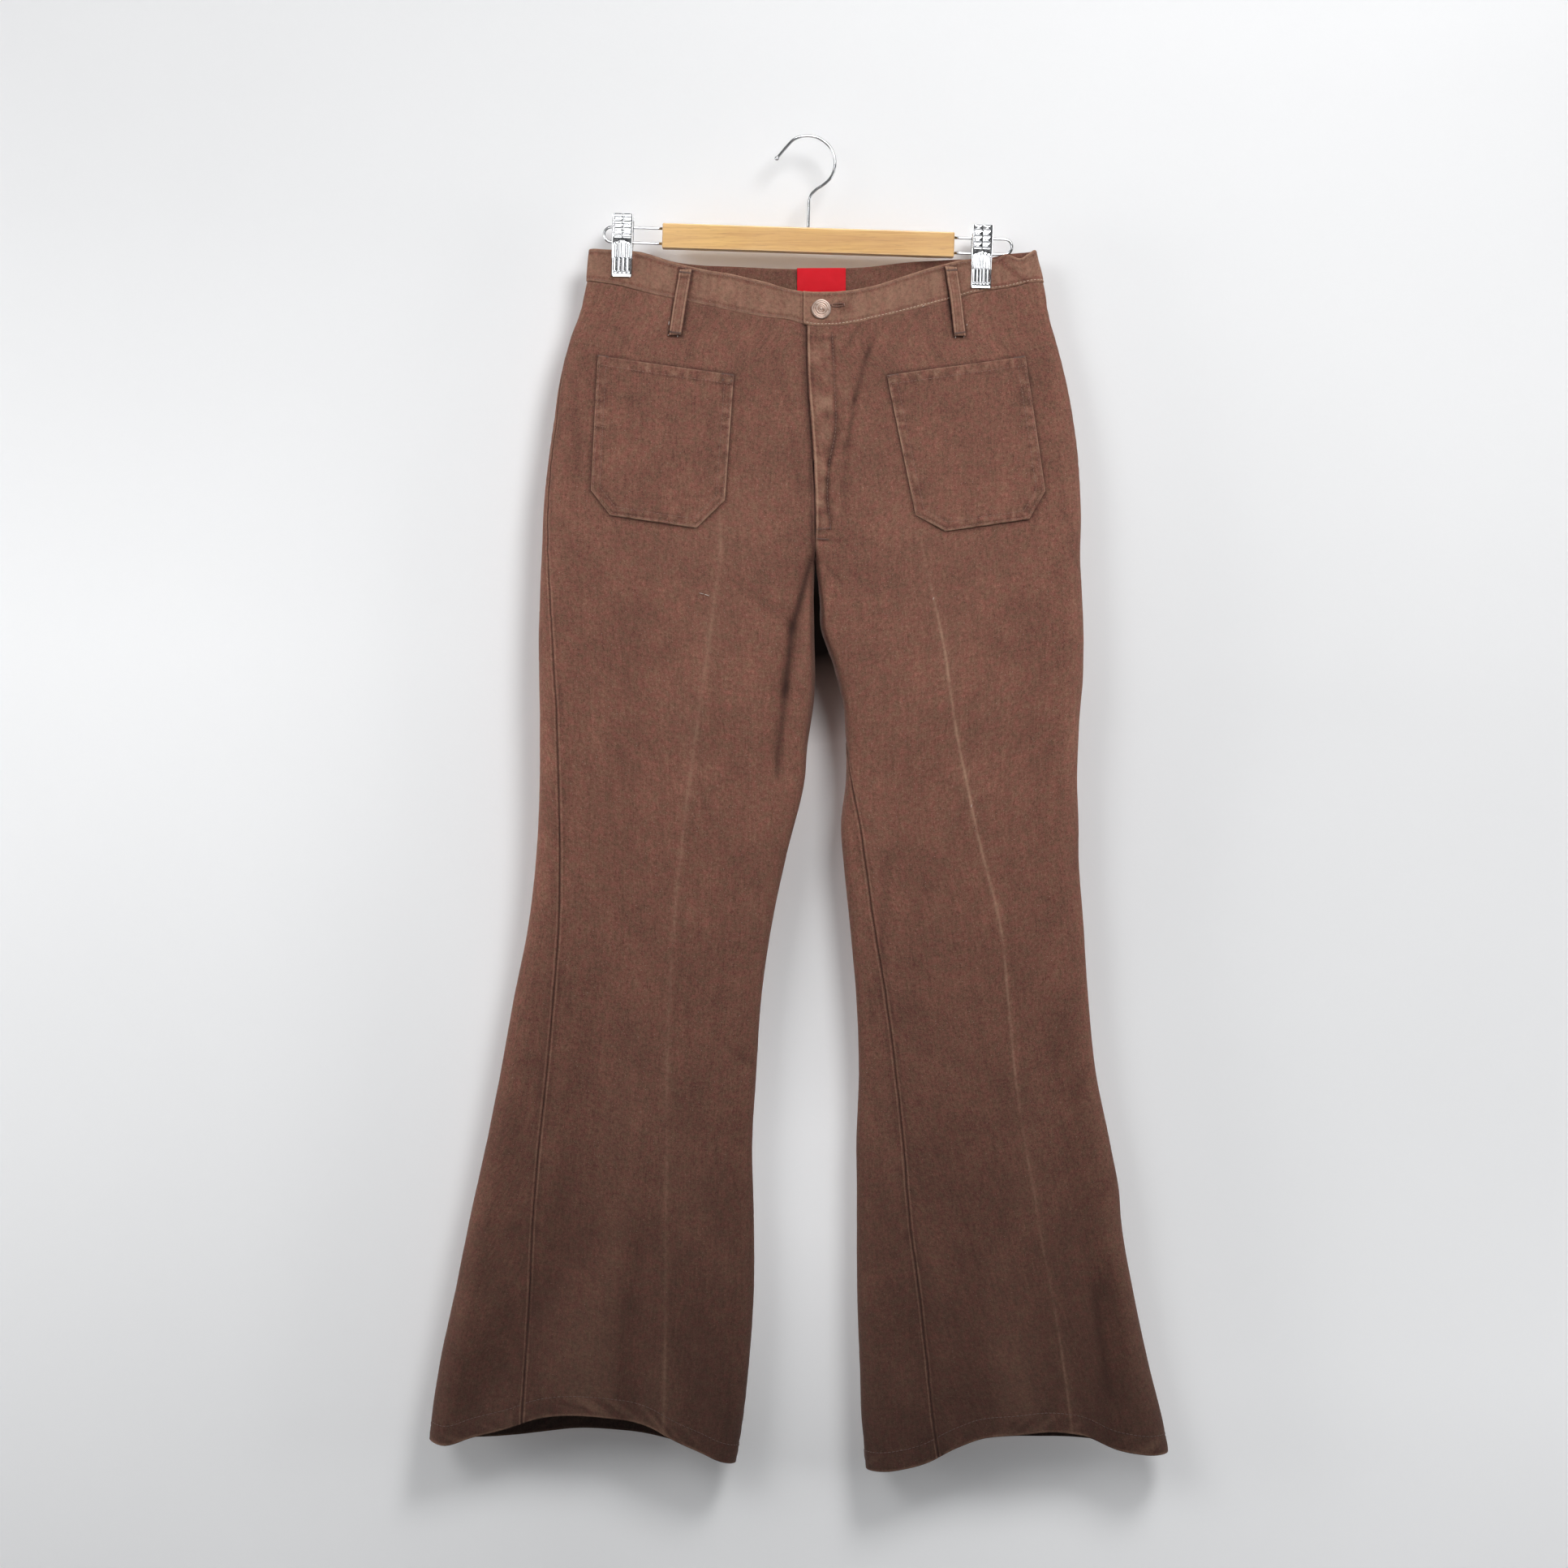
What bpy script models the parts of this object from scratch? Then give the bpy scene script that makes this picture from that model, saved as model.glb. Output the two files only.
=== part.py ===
"""Flared denim trousers hanging by their waistband from a wooden clip hanger.

Every size in the tables is in millimetres and becomes metres when a mesh is made.
+Z is up, the front of the trousers faces -Y and +X is to the right as seen from the front.
The origin is the inside top of the hanger's hook. Left and right are as seen from the front.

A leg is a flattened tube. Its cross-section at one height runs from the outer fold across the
front to the inner fold, and back across the back. The distance along it is u: 0 at the outer
fold, w at the inner fold or the centre, 2 w at the outer fold again.
"""

import math

import bmesh
import bpy
import numpy as np

MM = 0.001

# Cloth
WALL = 1.3
BAND_WALL = 2.4
SEAM_GAP = 0.3
LAY_GAP = 0.45
BAND_PROUD = 0.5
FLY_LAP = 10.0
FLY_LAP_FADE = (-255.0, -292.0)
FLY_RISE = 2.9
FLY_RISE_FADE = (-285.0, -320.0)
FLY_STEP_WIDTH = 13.0
FLY_STEP_FALL = 16.0
TAB_REACH = 3.0

# Where the legs part, and how far above it the front starts to round under
CROTCH_Z = -375.0
FORK_HEIGHT = 48.0

# Where each clip pinches the front and the back together
PINCH_X = (-162.0, 153.0)
PINCH_HALF = 2.1
PINCH_FLAT = 12.0
PINCH_REACH = 20.0
PINCH_FLOOR_Z = -134.0
PINCH_FALL = 42.0

# How far the pressed crease stands out of each front, and how wide it is
CREASE_RIDGE = 2.0
CREASE_REACH = 28.0

# Half depths of the tube, in front of and behind the plane of the folds
DEPTH_COLUMNS = ("z", "front", "back", "round_out", "round_in")
DEPTHS = (
    (-95, 9, 7, 13, 14),
    (-127, 10, 8, 14, 14),
    (-180, 13, 10, 16, 14),
    (-244, 16, 12, 18, 14),
    (-308, 18, 13, 19, 14),
    (-375, 20, 14, 20, 9),
    (-437, 21, 14, 20, 8),
    (-501, 21, 14, 20, 10),
    (-566, 20, 14, 20, 15),
    (-630, 19, 13, 20, 18),
    (-759, 17, 12, 20, 19),
    (-887, 18, 13, 20, 20),
    (-1016, 21, 15, 22, 22),
    (-1136, 25, 17, 24, 24),
    (-1180, 26, 18, 24, 24),
)

# Each leg's edges. out_seam and in_seam are how far a side seam lies from its fold,
# on the front where positive and on the back where negative.
LEG_COLUMNS = ("z", "outer", "inner", "inner_y", "out_seam", "in_seam", "crease")
LEFT_LEG = (
    (-95, -191, 0, 0, 0, 0, -95),
    (-127, -194, 0, 0, 0, 0, -92),
    (-151, -199, 0, 0, 0, 0, -90),
    (-180, -208.8, 0, 0, 0, 0, -88),
    (-218, -218, 1, 0, 1.5, 0, -86),
    (-244, -221.7, 3, 0, 2.5, 0, -84),
    (-308, -230.2, 7, 0, 4, 0, -79),
    (-375, -233.8, 7.2, 0, 7, 0, -76),
    (-405, -235, 6.4, 4, 10, -3, -80),
    (-437, -236, 6.8, 8, 13, -8, -84),
    (-480, -235.6, 7.4, 9, 15, -12, -90),
    (-501, -235.2, 6, 9, 16, -14, -93),
    (-533, -235.2, 1, 5, 17, -15, -98),
    (-566, -235.2, -1.8, 0, 18, -15, -102),
    (-630, -238.1, -17.2, 0, 22, -14, -110),
    (-694, -245.2, -30.7, 0, 28, -15, -116),
    (-759, -258.1, -40, 0, 36, -20, -120),
    (-823, -269.6, -44.3, 0, 42, -28, -122),
    (-887, -282.4, -47.9, 0, 48, -35, -122),
    (-952, -296.7, -46.5, 0, 57, -40, -123),
    (-1016, -309.6, -46.5, 0, 67, -45, -123),
    (-1080, -323.2, -50.8, 0, 77, -49, -124),
    (-1136, -331.2, -57, 0, 82, -52, -125),
    (-1180, -333.5, -64.8, 0, 84, -54, -126),
)
RIGHT_LEG = (
    (-95, 199.5, 0, 0, 0, 0, 95),
    (-110, 205.4, 0, 0, 0, 0, 95),
    (-127, 208.6, 0, 0, 0, 0, 95),
    (-151, 212.4, 0, 0, 0, 0, 95),
    (-180, 219.5, 0, 0, 0, 0, 95),
    (-218, 229, 1, 0, -1, 0, 96),
    (-244, 233.8, 3, 0, -2, 0, 97),
    (-287, 239.3, 6, 0, -3, 0, 98),
    (-330, 241.4, 7.5, 0, -4, 0, 98),
    (-375, 241, 7.8, 0, -5, 0, 103),
    (-405, 242.5, 11, 4, -6, 0, 110),
    (-437, 243.8, 13.2, 7, -7, 0, 117),
    (-458, 243.6, 21, 5, -7, 0, 121),
    (-480, 243.1, 27.2, 2, -8, 0, 124),
    (-501, 241, 31.8, 0, -9, 0, 127),
    (-533, 239.2, 34.3, 0, -10, 0, 132),
    (-566, 238.1, 34.3, 0, -11, 4, 139),
    (-609, 239.5, 30, 0, -12, 17, 148),
    (-630, 239.5, 31.5, 0, -16, 18.5, 153),
    (-694, 243.8, 37.9, 0, -28, 21, 169),
    (-759, 248, 43.6, 0, -32, 26, 176),
    (-823, 254.5, 45.8, 0, -33, 32, 182),
    (-887, 267.4, 43.6, 0, -36, 41, 191),
    (-930, 275.2, 44, 0, -39, 44, 199),
    (-952, 276.7, 44, 0, -41, 46, 202),
    (-1016, 287.4, 44.3, 0, -45, 54, 214),
    (-1080, 301, 46.5, 0, -47, 59, 224),
    (-1136, 314.6, 48.6, 0, -50, 63, 231),
    (-1180, 321.5, 53, 0, -52, 66, 236),
)

# Heights of the hem across each leg. share runs from the outer fold to the inner fold.
HEM_COLUMNS = ("share", "front", "back")
LEFT_HEM = (
    (0.0, -1146, -1146),
    (0.05, -1148, -1148),
    (0.15, -1140, -1148.5),
    (0.25, -1133, -1147),
    (0.35, -1124, -1144),
    (0.47, -1120.5, -1140.5),
    (0.6, -1124, -1142),
    (0.7, -1130, -1145),
    (0.8, -1144, -1151),
    (0.88, -1154, -1158),
    (0.95, -1163, -1164),
    (1.0, -1167, -1167),
)
RIGHT_HEM = (
    (0.0, -1157, -1157),
    (0.1, -1155, -1155),
    (0.18, -1151, -1152),
    (0.27, -1139, -1149),
    (0.36, -1135, -1147),
    (0.5, -1137.5, -1147),
    (0.6, -1141, -1150),
    (0.7, -1150, -1155),
    (0.8, -1163, -1164),
    (0.9, -1169, -1169),
    (1.0, -1172, -1172),
)

# Heights of the waistband's two edges. The front dips lower than the back.
WAIST_Z = -140.0
BAND_COLUMNS = ("x", "top", "seam")
BAND_FRONT = (
    (-195, -98.7, -127.3),
    (-166, -100, -131),
    (-150, -102, -135),
    (-123, -111, -142.5),
    (-92, -118.7, -149.4),
    (-67, -122.5, -154.6),
    (-36, -129.5, -160.2),
    (-12, -136, -163.5),
    (2, -138, -168),
    (26, -137.6, -168),
    (57, -133, -162.3),
    (88, -123.7, -155.2),
    (119, -114.4, -146.6),
    (144, -108, -138.7),
    (162, -107.6, -135.1),
    (172, -107.3, -134),
    (181, -103.2, -133),
    (193, -108, -130.5),
    (200, -105, -129.3),
    (209, -100, -128.5),
)
BAND_BACK = (
    (-195, -98.7, -127.3),
    (-150, -101, -130),
    (-118, -109, -137),
    (-60, -113, -141.5),
    (0, -115, -143.5),
    (50, -113.5, -142),
    (95, -108.8, -137),
    (128, -107.5, -134),
    (165, -106.6, -131.5),
    (181, -103, -130),
    (209, -100, -128.5),
)

# The largest folds in the cloth: straight troughs from one point to another.
# sink is how far the middle lies below the surface; a negative sink is a ridge.
FOLD_COLUMNS = ("leg", "face", "x0", "z0", "x1", "z1", "half_width", "sink")
FOLDS = (
    ("left", "front", -3, -395, -28, -540, 11, 3.0),
    ("left", "front", -215, -1000, -290, -1110, 22, 4.0),
    ("left", "front", -195, -1075, -190, -1150, 30, -5.0),
    ("left", "front", -90, -1060, -75, -1160, 20, 3.5),
    ("left", "back", -120, -560, -190, -900, 26, 4.0),
    ("left", "back", -110, -960, -120, -1160, 26, 5.0),
    ("left", "back", -60, -330, -110, -420, 22, 4.0),
    ("right", "front", 232, -600, 236, -760, 12, 2.5),
    ("right", "front", 255, -1020, 262, -1160, 17, 4.5),
    ("right", "front", 95, -1060, 110, -1170, 20, 3.0),
    ("right", "front", 183, -1080, 190, -1150, 26, -5.0),
    ("right", "front", 203, -170, 205, -235, 12, 2.0),
    ("right", "back", 130, -560, 190, -900, 26, 4.0),
    ("right", "back", 180, -960, 205, -1160, 26, 5.0),
    ("right", "back", 70, -330, 120, -420, 22, 4.0),
)

# Steps for reading a slope, and a limit that no distance reaches
SLOPE_STEP = 0.06
LAID_STEP = 0.5
NO_LIMIT = 1e4
SHARP_ANGLE = 40.0

# Share of the way along a panel for each column of its mesh
FRONT_COLUMNS = (0, 0.012, 0.035, 0.065, 0.098, 0.155, 0.216, 0.27, 0.324, 0.4,
                 0.48, 0.56, 0.65, 0.74, 0.82, 0.88, 0.93, 0.965, 0.988, 1)
BACK_COLUMNS = (0, 0.02, 0.06, 0.14, 0.23, 0.33, 0.43, 0.53, 0.606, 0.676, 0.784, 0.902,
                0.96, 0.988, 1)
WRAP_COLUMNS = (0.1, 0.36, 1)

# Rows of a panel's mesh: shares from the waist seam to the hip line, heights down the leg,
# and shares from the lowest of those to the hem
HIP_Z = -215.0
TOP_ROWS = (0, 0.35, 0.7)
FIXED_ROWS = (-215, -250, -290, -375, -384, -405, -437, -470, -501, -533, -566, -609, -650, -694,
              -735, -780, -823, -865, -910, -952, -995, -1035, -1075)
FORK_ANGLES = (0, 22.5, 45, 67.5)
LOW_Z = -1075.0
HEM_ROWS = (0.3, 0.6, 0.85, 1)

# Pocket outlines on the front, clockwise from the top left corner as seen
POCKET_THICK = 1.4
POCKETS = {
    "left": {
        "top": ((-183.2, -194.5), (-64.0, -212.2)),
        "shoulder": ((-188.9, -313.0), (-71.8, -322.2)),
        "bottom": ((-171.9, -335.0), (-96.6, -346.3)),
    },
    "right": {
        "top": ((70.1, -212.2), (191.5, -195.2)),
        "shoulder": ((95.0, -335.0), (208.5, -313.7)),
        "bottom": ((121.2, -349.2), (194.3, -338.5)),
    },
}
POCKET_SIDE_ROWS = 6
POCKET_COLUMN_COUNT = 8

# Belt loops: face, x and z of the top and bottom ends, and how far they stand off the cloth
LOOP_WIDTH = 10.6
LOOP_THICK = 1.6
LOOP_BULGE = 2.0
LOOP_ROW_COUNT = 7
LOOPS = {
    "belt_loop_front_left": ("front", -105.9, -119.0, -115.1, -177.0, 0.6),
    "belt_loop_front_right": ("front", 125.5, -115.5, 134.0, -177.5, 1.0),
    "belt_loop_back_left": ("back", -112.0, -113.0, -112.0, -164.0, 0.6),
    "belt_loop_back_centre": ("back", 3.0, -117.5, 3.0, -170.0, 0.6),
    "belt_loop_back_right": ("back", 108.0, -110.5, 108.0, -162.5, 0.6),
}

# Shank button and the label inside the back of the waistband
BUTTON_X = 12.6
BUTTON_Z = -154.0
BUTTON_RADIUS = 8.6
BUTTON_SIDES = 24
BUTTON_PROFILE = ((0.35, 0.0), (1.0, 0.9), (1.0, 1.9), (0.86, 2.7), (0.55, 2.4), (0.28, 3.0))
LABEL_X = (-8.5, 34.4)
LABEL_TOP = -114.4
LABEL_HEIGHT = 24.0
LABEL_THICK = 1.0

# Hanger, in its own upright frame, then tilted clockwise about the origin
TILT = 1.8
BAR_LENGTH = 257.0
BAR_HEIGHT = 22.0
BAR_DEPTH = 10.0
BAR_EDGE = 1.2
BAR_X = 4.2
BAR_Z = -91.2
RAIL_WIRE = 2.4
RAIL_SPACING = 13.4
RAIL_REACH = 181.0
RAIL_X = 4.0
RAIL_BEND_STEPS = 8
HOOK_WIRE = 2.6
HOOK_COLUMNS = ("x", "z")
HOOK = (
    (-24.6, -18.0), (-20.6, -12.8), (-17.0, -8.4), (-11.4, -2.5), (-4.8, 0.5), (2.1, 1.3),
    (9.0, 0.0), (15.4, -3.4), (21.0, -8.6), (24.4, -15.0), (25.6, -22.0), (24.8, -29.0),
    (21.6, -35.8), (16.2, -41.2), (9.6, -46.0), (5.6, -50.4), (3.9, -56.0), (3.7, -64.0),
    (3.7, -72.0), (3.7, -79.9),
)
WIRE_SIDES = 8

# The ball on the hook's tip: how far each ring lies before the wire's end, and its radius
BALL_RINGS = ((3.6, 0.8), (2.9, 1.7), (2.0, 2.0), (1.1, 1.7))

# Clips: centres in the hanger's frame, and the profile of a jaw from top to bottom
CLIP_X = (-159.2, 157.2)
CLIP_WIDTH = 18.4
CLIP_TOP = -74.5
CLIP_BREAK = -95.0
CLIP_FOOT = -128.5
CLIP_SHEET = 1.1
CLIP_GRIP = 3.0
CLIP_COLUMNS = ("z", "stand_off")
CLIP_PROFILE = (
    (-74.5, 10.0), (-78, 9.4), (-95, 7.6), (-100, 6.8), (-106, 4.6), (-112, 3.1), (-127, 3.0),
    (-128.5, 3.6),
)
FRONT_JAW_ROWS = (-74.5, -77, -79.6, -82.2, -84.8, -87.3, -89.9, -92.4, -95, -98, -104, -110,
                  -114, -118, -123, -126, -128.5)
BACK_JAW_ROWS = (-74.5, -85, -95, -100, -106, -112, -118, -127, -128.5)
FRONT_JAW_COLUMNS = 9
BACK_JAW_COLUMNS = 3
FLUTE_HEIGHT = 0.7
FLUTE_FOOT = 2.0
FLUTE_FADE = 3.0
FLUTES = 4
RIBS = 4
FLANGE = 3.0
SPRING_WIDTH = 12.0


def named(rows, columns, name):
    """One column of a table, as an array."""
    return np.array([row[columns.index(name)] for row in rows], float)


def smooth_read(at, knots, values):
    """Read a smooth curve through (knots, values), with slopes from the neighbours."""
    order = np.argsort(knots)
    k = knots[order]
    v = values[order]
    slope = np.gradient(v, k)
    at = np.clip(at, k[0], k[-1])
    i = np.clip(np.searchsorted(k, at) - 1, 0, len(k) - 2)
    step = k[i + 1] - k[i]
    t = (at - k[i]) / step
    return ((1 + 2 * t) * (1 - t) ** 2 * v[i] + t * (1 - t) ** 2 * step * slope[i]
            + t * t * (3 - 2 * t) * v[i + 1] + t * t * (t - 1) * step * slope[i + 1])


def read_table(rows, columns, name, at):
    """Read one column of a table at a value of its first column."""
    knots = named(rows, columns, columns[0])
    return smooth_read(np.asarray(at, float), knots, named(rows, columns, name))


def straight_read(rows, columns, name, at):
    """Read one column of a table along straight lines between its rows."""
    knots = named(rows, columns, columns[0])
    values = named(rows, columns, name)
    order = np.argsort(knots)
    return np.interp(at, knots[order], values[order])


def smooth_step(t):
    """Rise from 0 to 1 with level ends."""
    t = np.clip(t, 0, 1)
    return t * t * (3 - 2 * t)


def round_edge(distance, reach):
    """A quarter of an ellipse: 0 at the fold, 1 from the reach inwards."""
    t = np.clip(distance / reach, 0, 1)
    return np.sqrt(np.maximum(1 - (1 - t) ** 2, 0))


def leg_value(side, name, z):
    """A column of one leg's table at a height."""
    return read_table(LEFT_LEG if side == "left" else RIGHT_LEG, LEG_COLUMNS, name, z)


def fork_share(z):
    """1 where the two legs are one tube, falling to 0 at the crotch along a quarter circle."""
    t = np.clip((CROTCH_Z + FORK_HEIGHT - z) / FORK_HEIGHT, 0, 1)
    return np.sqrt(np.maximum(1 - t * t, 0))


def fold_relief(side, face, x, z):
    """How far the named troughs and ridges move the surface towards the inside."""
    total = np.zeros(np.broadcast(x, z).shape)
    for row in FOLDS:
        fold = dict(zip(FOLD_COLUMNS, row))
        if fold["leg"] != side or fold["face"] != face:
            continue
        x0, z0, x1, z1 = fold["x0"], fold["z0"], fold["x1"], fold["z1"]
        half_width = fold["half_width"]
        length = math.hypot(x1 - x0, z1 - z0)
        along = ((x - x0) * (x1 - x0) + (z - z0) * (z1 - z0)) / length
        across = ((x - x0) * (z1 - z0) - (z - z0) * (x1 - x0)) / length
        past = np.maximum(0, np.maximum(-along, along - length)) / (2 * half_width)
        total = total + fold["sink"] * np.exp(-(across / half_width) ** 2 - past ** 2)
    return total


def pinch_share(x, z):
    """1 where a clip presses the front against the back, fading away from it."""
    fall = np.exp(-(np.maximum(PINCH_FLOOR_Z - z, 0) / PINCH_FALL) ** 2)
    near = np.zeros(np.broadcast(x, z).shape)
    for centre in PINCH_X:
        off = np.maximum(np.abs(x - centre) - PINCH_FLAT, 0)
        near = np.maximum(near, np.exp(-(off / PINCH_REACH) ** 2))
    return near * fall


def depth_at(side, face, x, z):
    """Distance from the plane of the folds to the outer face of the cloth, away from the folds."""
    depth = read_table(DEPTHS, DEPTH_COLUMNS, face, z)
    if face == "front":
        crease = leg_value(side, "crease", z)
        depth = depth + CREASE_RIDGE * np.exp(-((x - crease) / CREASE_REACH) ** 2)
    depth = depth - fold_relief(side, face, x, z)
    share = pinch_share(x, z)
    return depth * (1 - share) + PINCH_HALF * share


def fly_rise(x, z, centre):
    """How far the right front stands out where it laps over the left front."""
    reach = smooth_step(1 - (np.abs(x - centre) - FLY_STEP_WIDTH) / FLY_STEP_FALL)
    full, none = FLY_RISE_FADE
    return FLY_RISE * reach * smooth_step((z - none) / (full - none))


def fly_lap(z):
    """How far the left front goes on under the right front."""
    full, none = FLY_LAP_FADE
    return FLY_LAP * smooth_step((z - none) / (full - none))


def leg_point(side, u, z, lap=0.0):
    """The outer face of the cloth at distance u round the section at height z.

    Above the crotch the front may run on past the centre by the lap.
    """
    outer = leg_value(side, "outer", z)
    inner = leg_value(side, "inner", z)
    width = np.abs(inner - outer)
    open_top = fork_share(z) >= 1
    on_front = (u >= 0) & (u <= width + np.where(open_top, lap, 0.0))
    # u below 0 or above 2 widths has gone round the outer fold onto the other face.
    turned = np.where(u > 2 * width, u - 2 * width, u)
    on_front = on_front | (u > 2 * width)
    from_outer = np.where(on_front, turned, np.where(u < 0, -u, 2 * width - turned))
    x = outer + np.sign(inner - outer) * from_outer
    to_inner = np.maximum(width - from_outer, 0)
    round_out = read_table(DEPTHS, DEPTH_COLUMNS, "round_out", z)
    round_in = read_table(DEPTHS, DEPTH_COLUMNS, "round_in", z)
    at_outer = round_edge(np.maximum(from_outer, 0), round_out)
    at_inner = round_edge(to_inner, round_in)
    fork = fork_share(z)
    near_inner = fork + (1 - fork) * at_inner
    inner_y = leg_value(side, "inner_y", z)
    front = -depth_at(side, "front", x, z)
    back = depth_at(side, "back", x, z)
    depth = np.where(on_front, front, back)
    y = depth * at_outer * near_inner + inner_y * (1 - fork) * (1 - at_inner)
    if side == "right":
        y = y - np.where(on_front, fly_rise(x, z, inner), 0)
    return np.stack(np.broadcast_arrays(x, y, z), axis=-1)


def inward(side, u, z, u_low, u_high, lap):
    """Unit direction from the outer face into the garment, from small steps along u and z."""
    before = leg_point(side, np.maximum(u - SLOPE_STEP, u_low), z, lap)
    after = leg_point(side, np.minimum(u + SLOPE_STEP, u_high), z, lap)
    above = leg_point(side, u, z + SLOPE_STEP, lap)
    below = leg_point(side, u, z - SLOPE_STEP, lap)
    normal = np.cross(after - before, above - below)
    normal = normal / np.maximum(np.linalg.norm(normal, axis=-1, keepdims=True), 1e-9)
    return -normal if side == "left" else normal


def closed_grid(outer, inner):
    """Vertices and faces of a wall between two grids of points, with its four rims.

    Points that coincide become one, and faces that lose their area are left out.
    """
    rows, columns = outer.shape[:2]
    points = np.concatenate([outer.reshape(-1, 3), inner.reshape(-1, 3)])
    keys = {}
    where = []
    kept = []
    for point in points:
        key = tuple(np.round(point, 4))
        if key not in keys:
            keys[key] = len(kept)
            kept.append(point)
        where.append(keys[key])

    def at(layer, row, column):
        return where[layer * rows * columns + row * columns + column]

    faces = []
    for r in range(rows - 1):
        for c in range(columns - 1):
            faces.append((at(0, r, c), at(0, r + 1, c), at(0, r + 1, c + 1), at(0, r, c + 1)))
            faces.append((at(1, r, c), at(1, r, c + 1), at(1, r + 1, c + 1), at(1, r + 1, c)))
    for r in range(rows - 1):
        faces.append((at(0, r, 0), at(1, r, 0), at(1, r + 1, 0), at(0, r + 1, 0)))
        last = columns - 1
        faces.append((at(0, r, last), at(0, r + 1, last), at(1, r + 1, last), at(1, r, last)))
    for c in range(columns - 1):
        faces.append((at(0, 0, c), at(0, 0, c + 1), at(1, 0, c + 1), at(1, 0, c)))
        last = rows - 1
        faces.append((at(0, last, c), at(1, last, c), at(1, last, c + 1), at(0, last, c + 1)))
    clean = []
    for face in faces:
        short = [v for i, v in enumerate(face) if v != face[i - 1]]
        if len(set(short)) >= 3:
            clean.append(tuple(short))
    return kept, clean


def make_material(name, colour, roughness, metallic):
    material = bpy.data.materials.new(name)
    material.use_nodes = True
    shader = material.node_tree.nodes["Principled BSDF"]
    shader.inputs["Base Color"].default_value = (*colour, 1)
    shader.inputs["Roughness"].default_value = roughness
    shader.inputs["Metallic"].default_value = metallic
    material.diffuse_color = (*colour, 1)
    return material


def denim(name):
    return make_material(name + "_denim", (0.115, 0.062, 0.044), 0.9, 0.0)


def chrome(name):
    return make_material(name + "_chrome", (0.8, 0.8, 0.82), 0.15, 1.0)


def wood(name):
    return make_material(name + "_wood", (0.62, 0.4, 0.18), 0.45, 0.0)


def make_object(name, vertices, faces, material, smooth=True):
    """A mesh object from points in millimetres, with its faces turned outwards."""
    mesh = bpy.data.meshes.new(name)
    mesh.from_pydata([tuple(float(c) * MM for c in v) for v in vertices], [], faces)
    shape = bmesh.new()
    shape.from_mesh(mesh)
    bmesh.ops.triangulate(shape, faces=shape.faces[:])
    bmesh.ops.recalc_face_normals(shape, faces=shape.faces[:])
    if shape.calc_volume(signed=True) < 0:
        bmesh.ops.reverse_faces(shape, faces=shape.faces[:])
    shape.to_mesh(mesh)
    shape.free()
    if smooth:
        mesh.shade_smooth()
        mesh.set_sharp_from_angle(angle=math.radians(SHARP_ANGLE))
    mesh.materials.append(material)
    thing = bpy.data.objects.new(name, mesh)
    bpy.context.scene.collection.objects.link(thing)
    return thing


def seam_height(face, x):
    """Height of the waistband's lower edge."""
    if face == "front":
        return read_table(BAND_FRONT, BAND_COLUMNS, "seam", x)
    return read_table(BAND_BACK, BAND_COLUMNS, "seam", x)


def hem_height(side, face, share):
    table = LEFT_HEM if side == "left" else RIGHT_HEM
    return read_table(table, HEM_COLUMNS, face, share)


def row_heights(side, face, share):
    """Heights of all mesh rows for columns at a share of the way from outer to inner fold."""
    outer = leg_value(side, "outer", WAIST_Z)
    x = outer * (1 - share)
    top = seam_height(face, x) - SEAM_GAP
    rows = [top + (HIP_Z - top) * t for t in TOP_ROWS]
    fork_top = CROTCH_Z + FORK_HEIGHT
    fork = [fork_top - FORK_HEIGHT * math.sin(math.radians(a)) for a in FORK_ANGLES]
    for z in sorted(list(FIXED_ROWS) + fork, reverse=True):
        rows.append(np.full(share.shape, z))
    hem = hem_height(side, face, share)
    rows += [LOW_Z + (hem - LOW_Z) * t for t in HEM_ROWS]
    return np.array(rows)


def panel_grid(side, face):
    """Distances round the section and heights of a panel's mesh, row by row."""
    half_gap = SEAM_GAP / 2
    spread = np.array(FRONT_COLUMNS if face == "front" else BACK_COLUMNS)
    wrap = np.array(WRAP_COLUMNS)
    wrap_outer = (side == "left") == (face == "back")
    if face == "front":
        share = np.concatenate([spread, np.ones(len(wrap))])
    else:
        share = np.concatenate([1 - spread, np.zeros(len(wrap))])
    if face == "front" and wrap_outer:
        share = np.concatenate([np.zeros(len(wrap)), spread])
    if face == "back" and not wrap_outer:
        share = np.concatenate([np.ones(len(wrap)), 1 - spread])
    heights = row_heights(side, face, share)
    grid_u = []
    for z in heights:
        width = np.abs(leg_value(side, "inner", z) - leg_value(side, "outer", z))
        out_seam = leg_value(side, "out_seam", z)
        in_seam = np.where(z < CROTCH_Z, leg_value(side, "in_seam", z), 0)
        if face == "front":
            start = out_seam + half_gap
            end = width - in_seam - half_gap
            if side == "left":
                end = end + fly_lap(z)
            fold_near = np.maximum(start, 0)
            fold_far = np.where(z < CROTCH_Z, np.minimum(end, width), end)
        else:
            start = width - in_seam + half_gap
            end = 2 * width + out_seam - half_gap
            fold_near = np.maximum(start, width)
            fold_far = np.minimum(end, 2 * width)
        count = len(wrap)
        if (face == "front") == wrap_outer:
            near = start[:count] + (fold_near[:count] - start[:count]) * (1 - wrap[::-1])
            main = fold_near[count:] + (end[count:] - fold_near[count:]) * spread
            grid_u.append(np.concatenate([near, main]))
        else:
            size = len(spread)
            main = start[:size] + (fold_far[:size] - start[:size]) * spread
            far = fold_far[size:] + (end[size:] - fold_far[size:]) * wrap
            grid_u.append(np.concatenate([main, far]))
    return np.array(grid_u), heights


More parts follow.
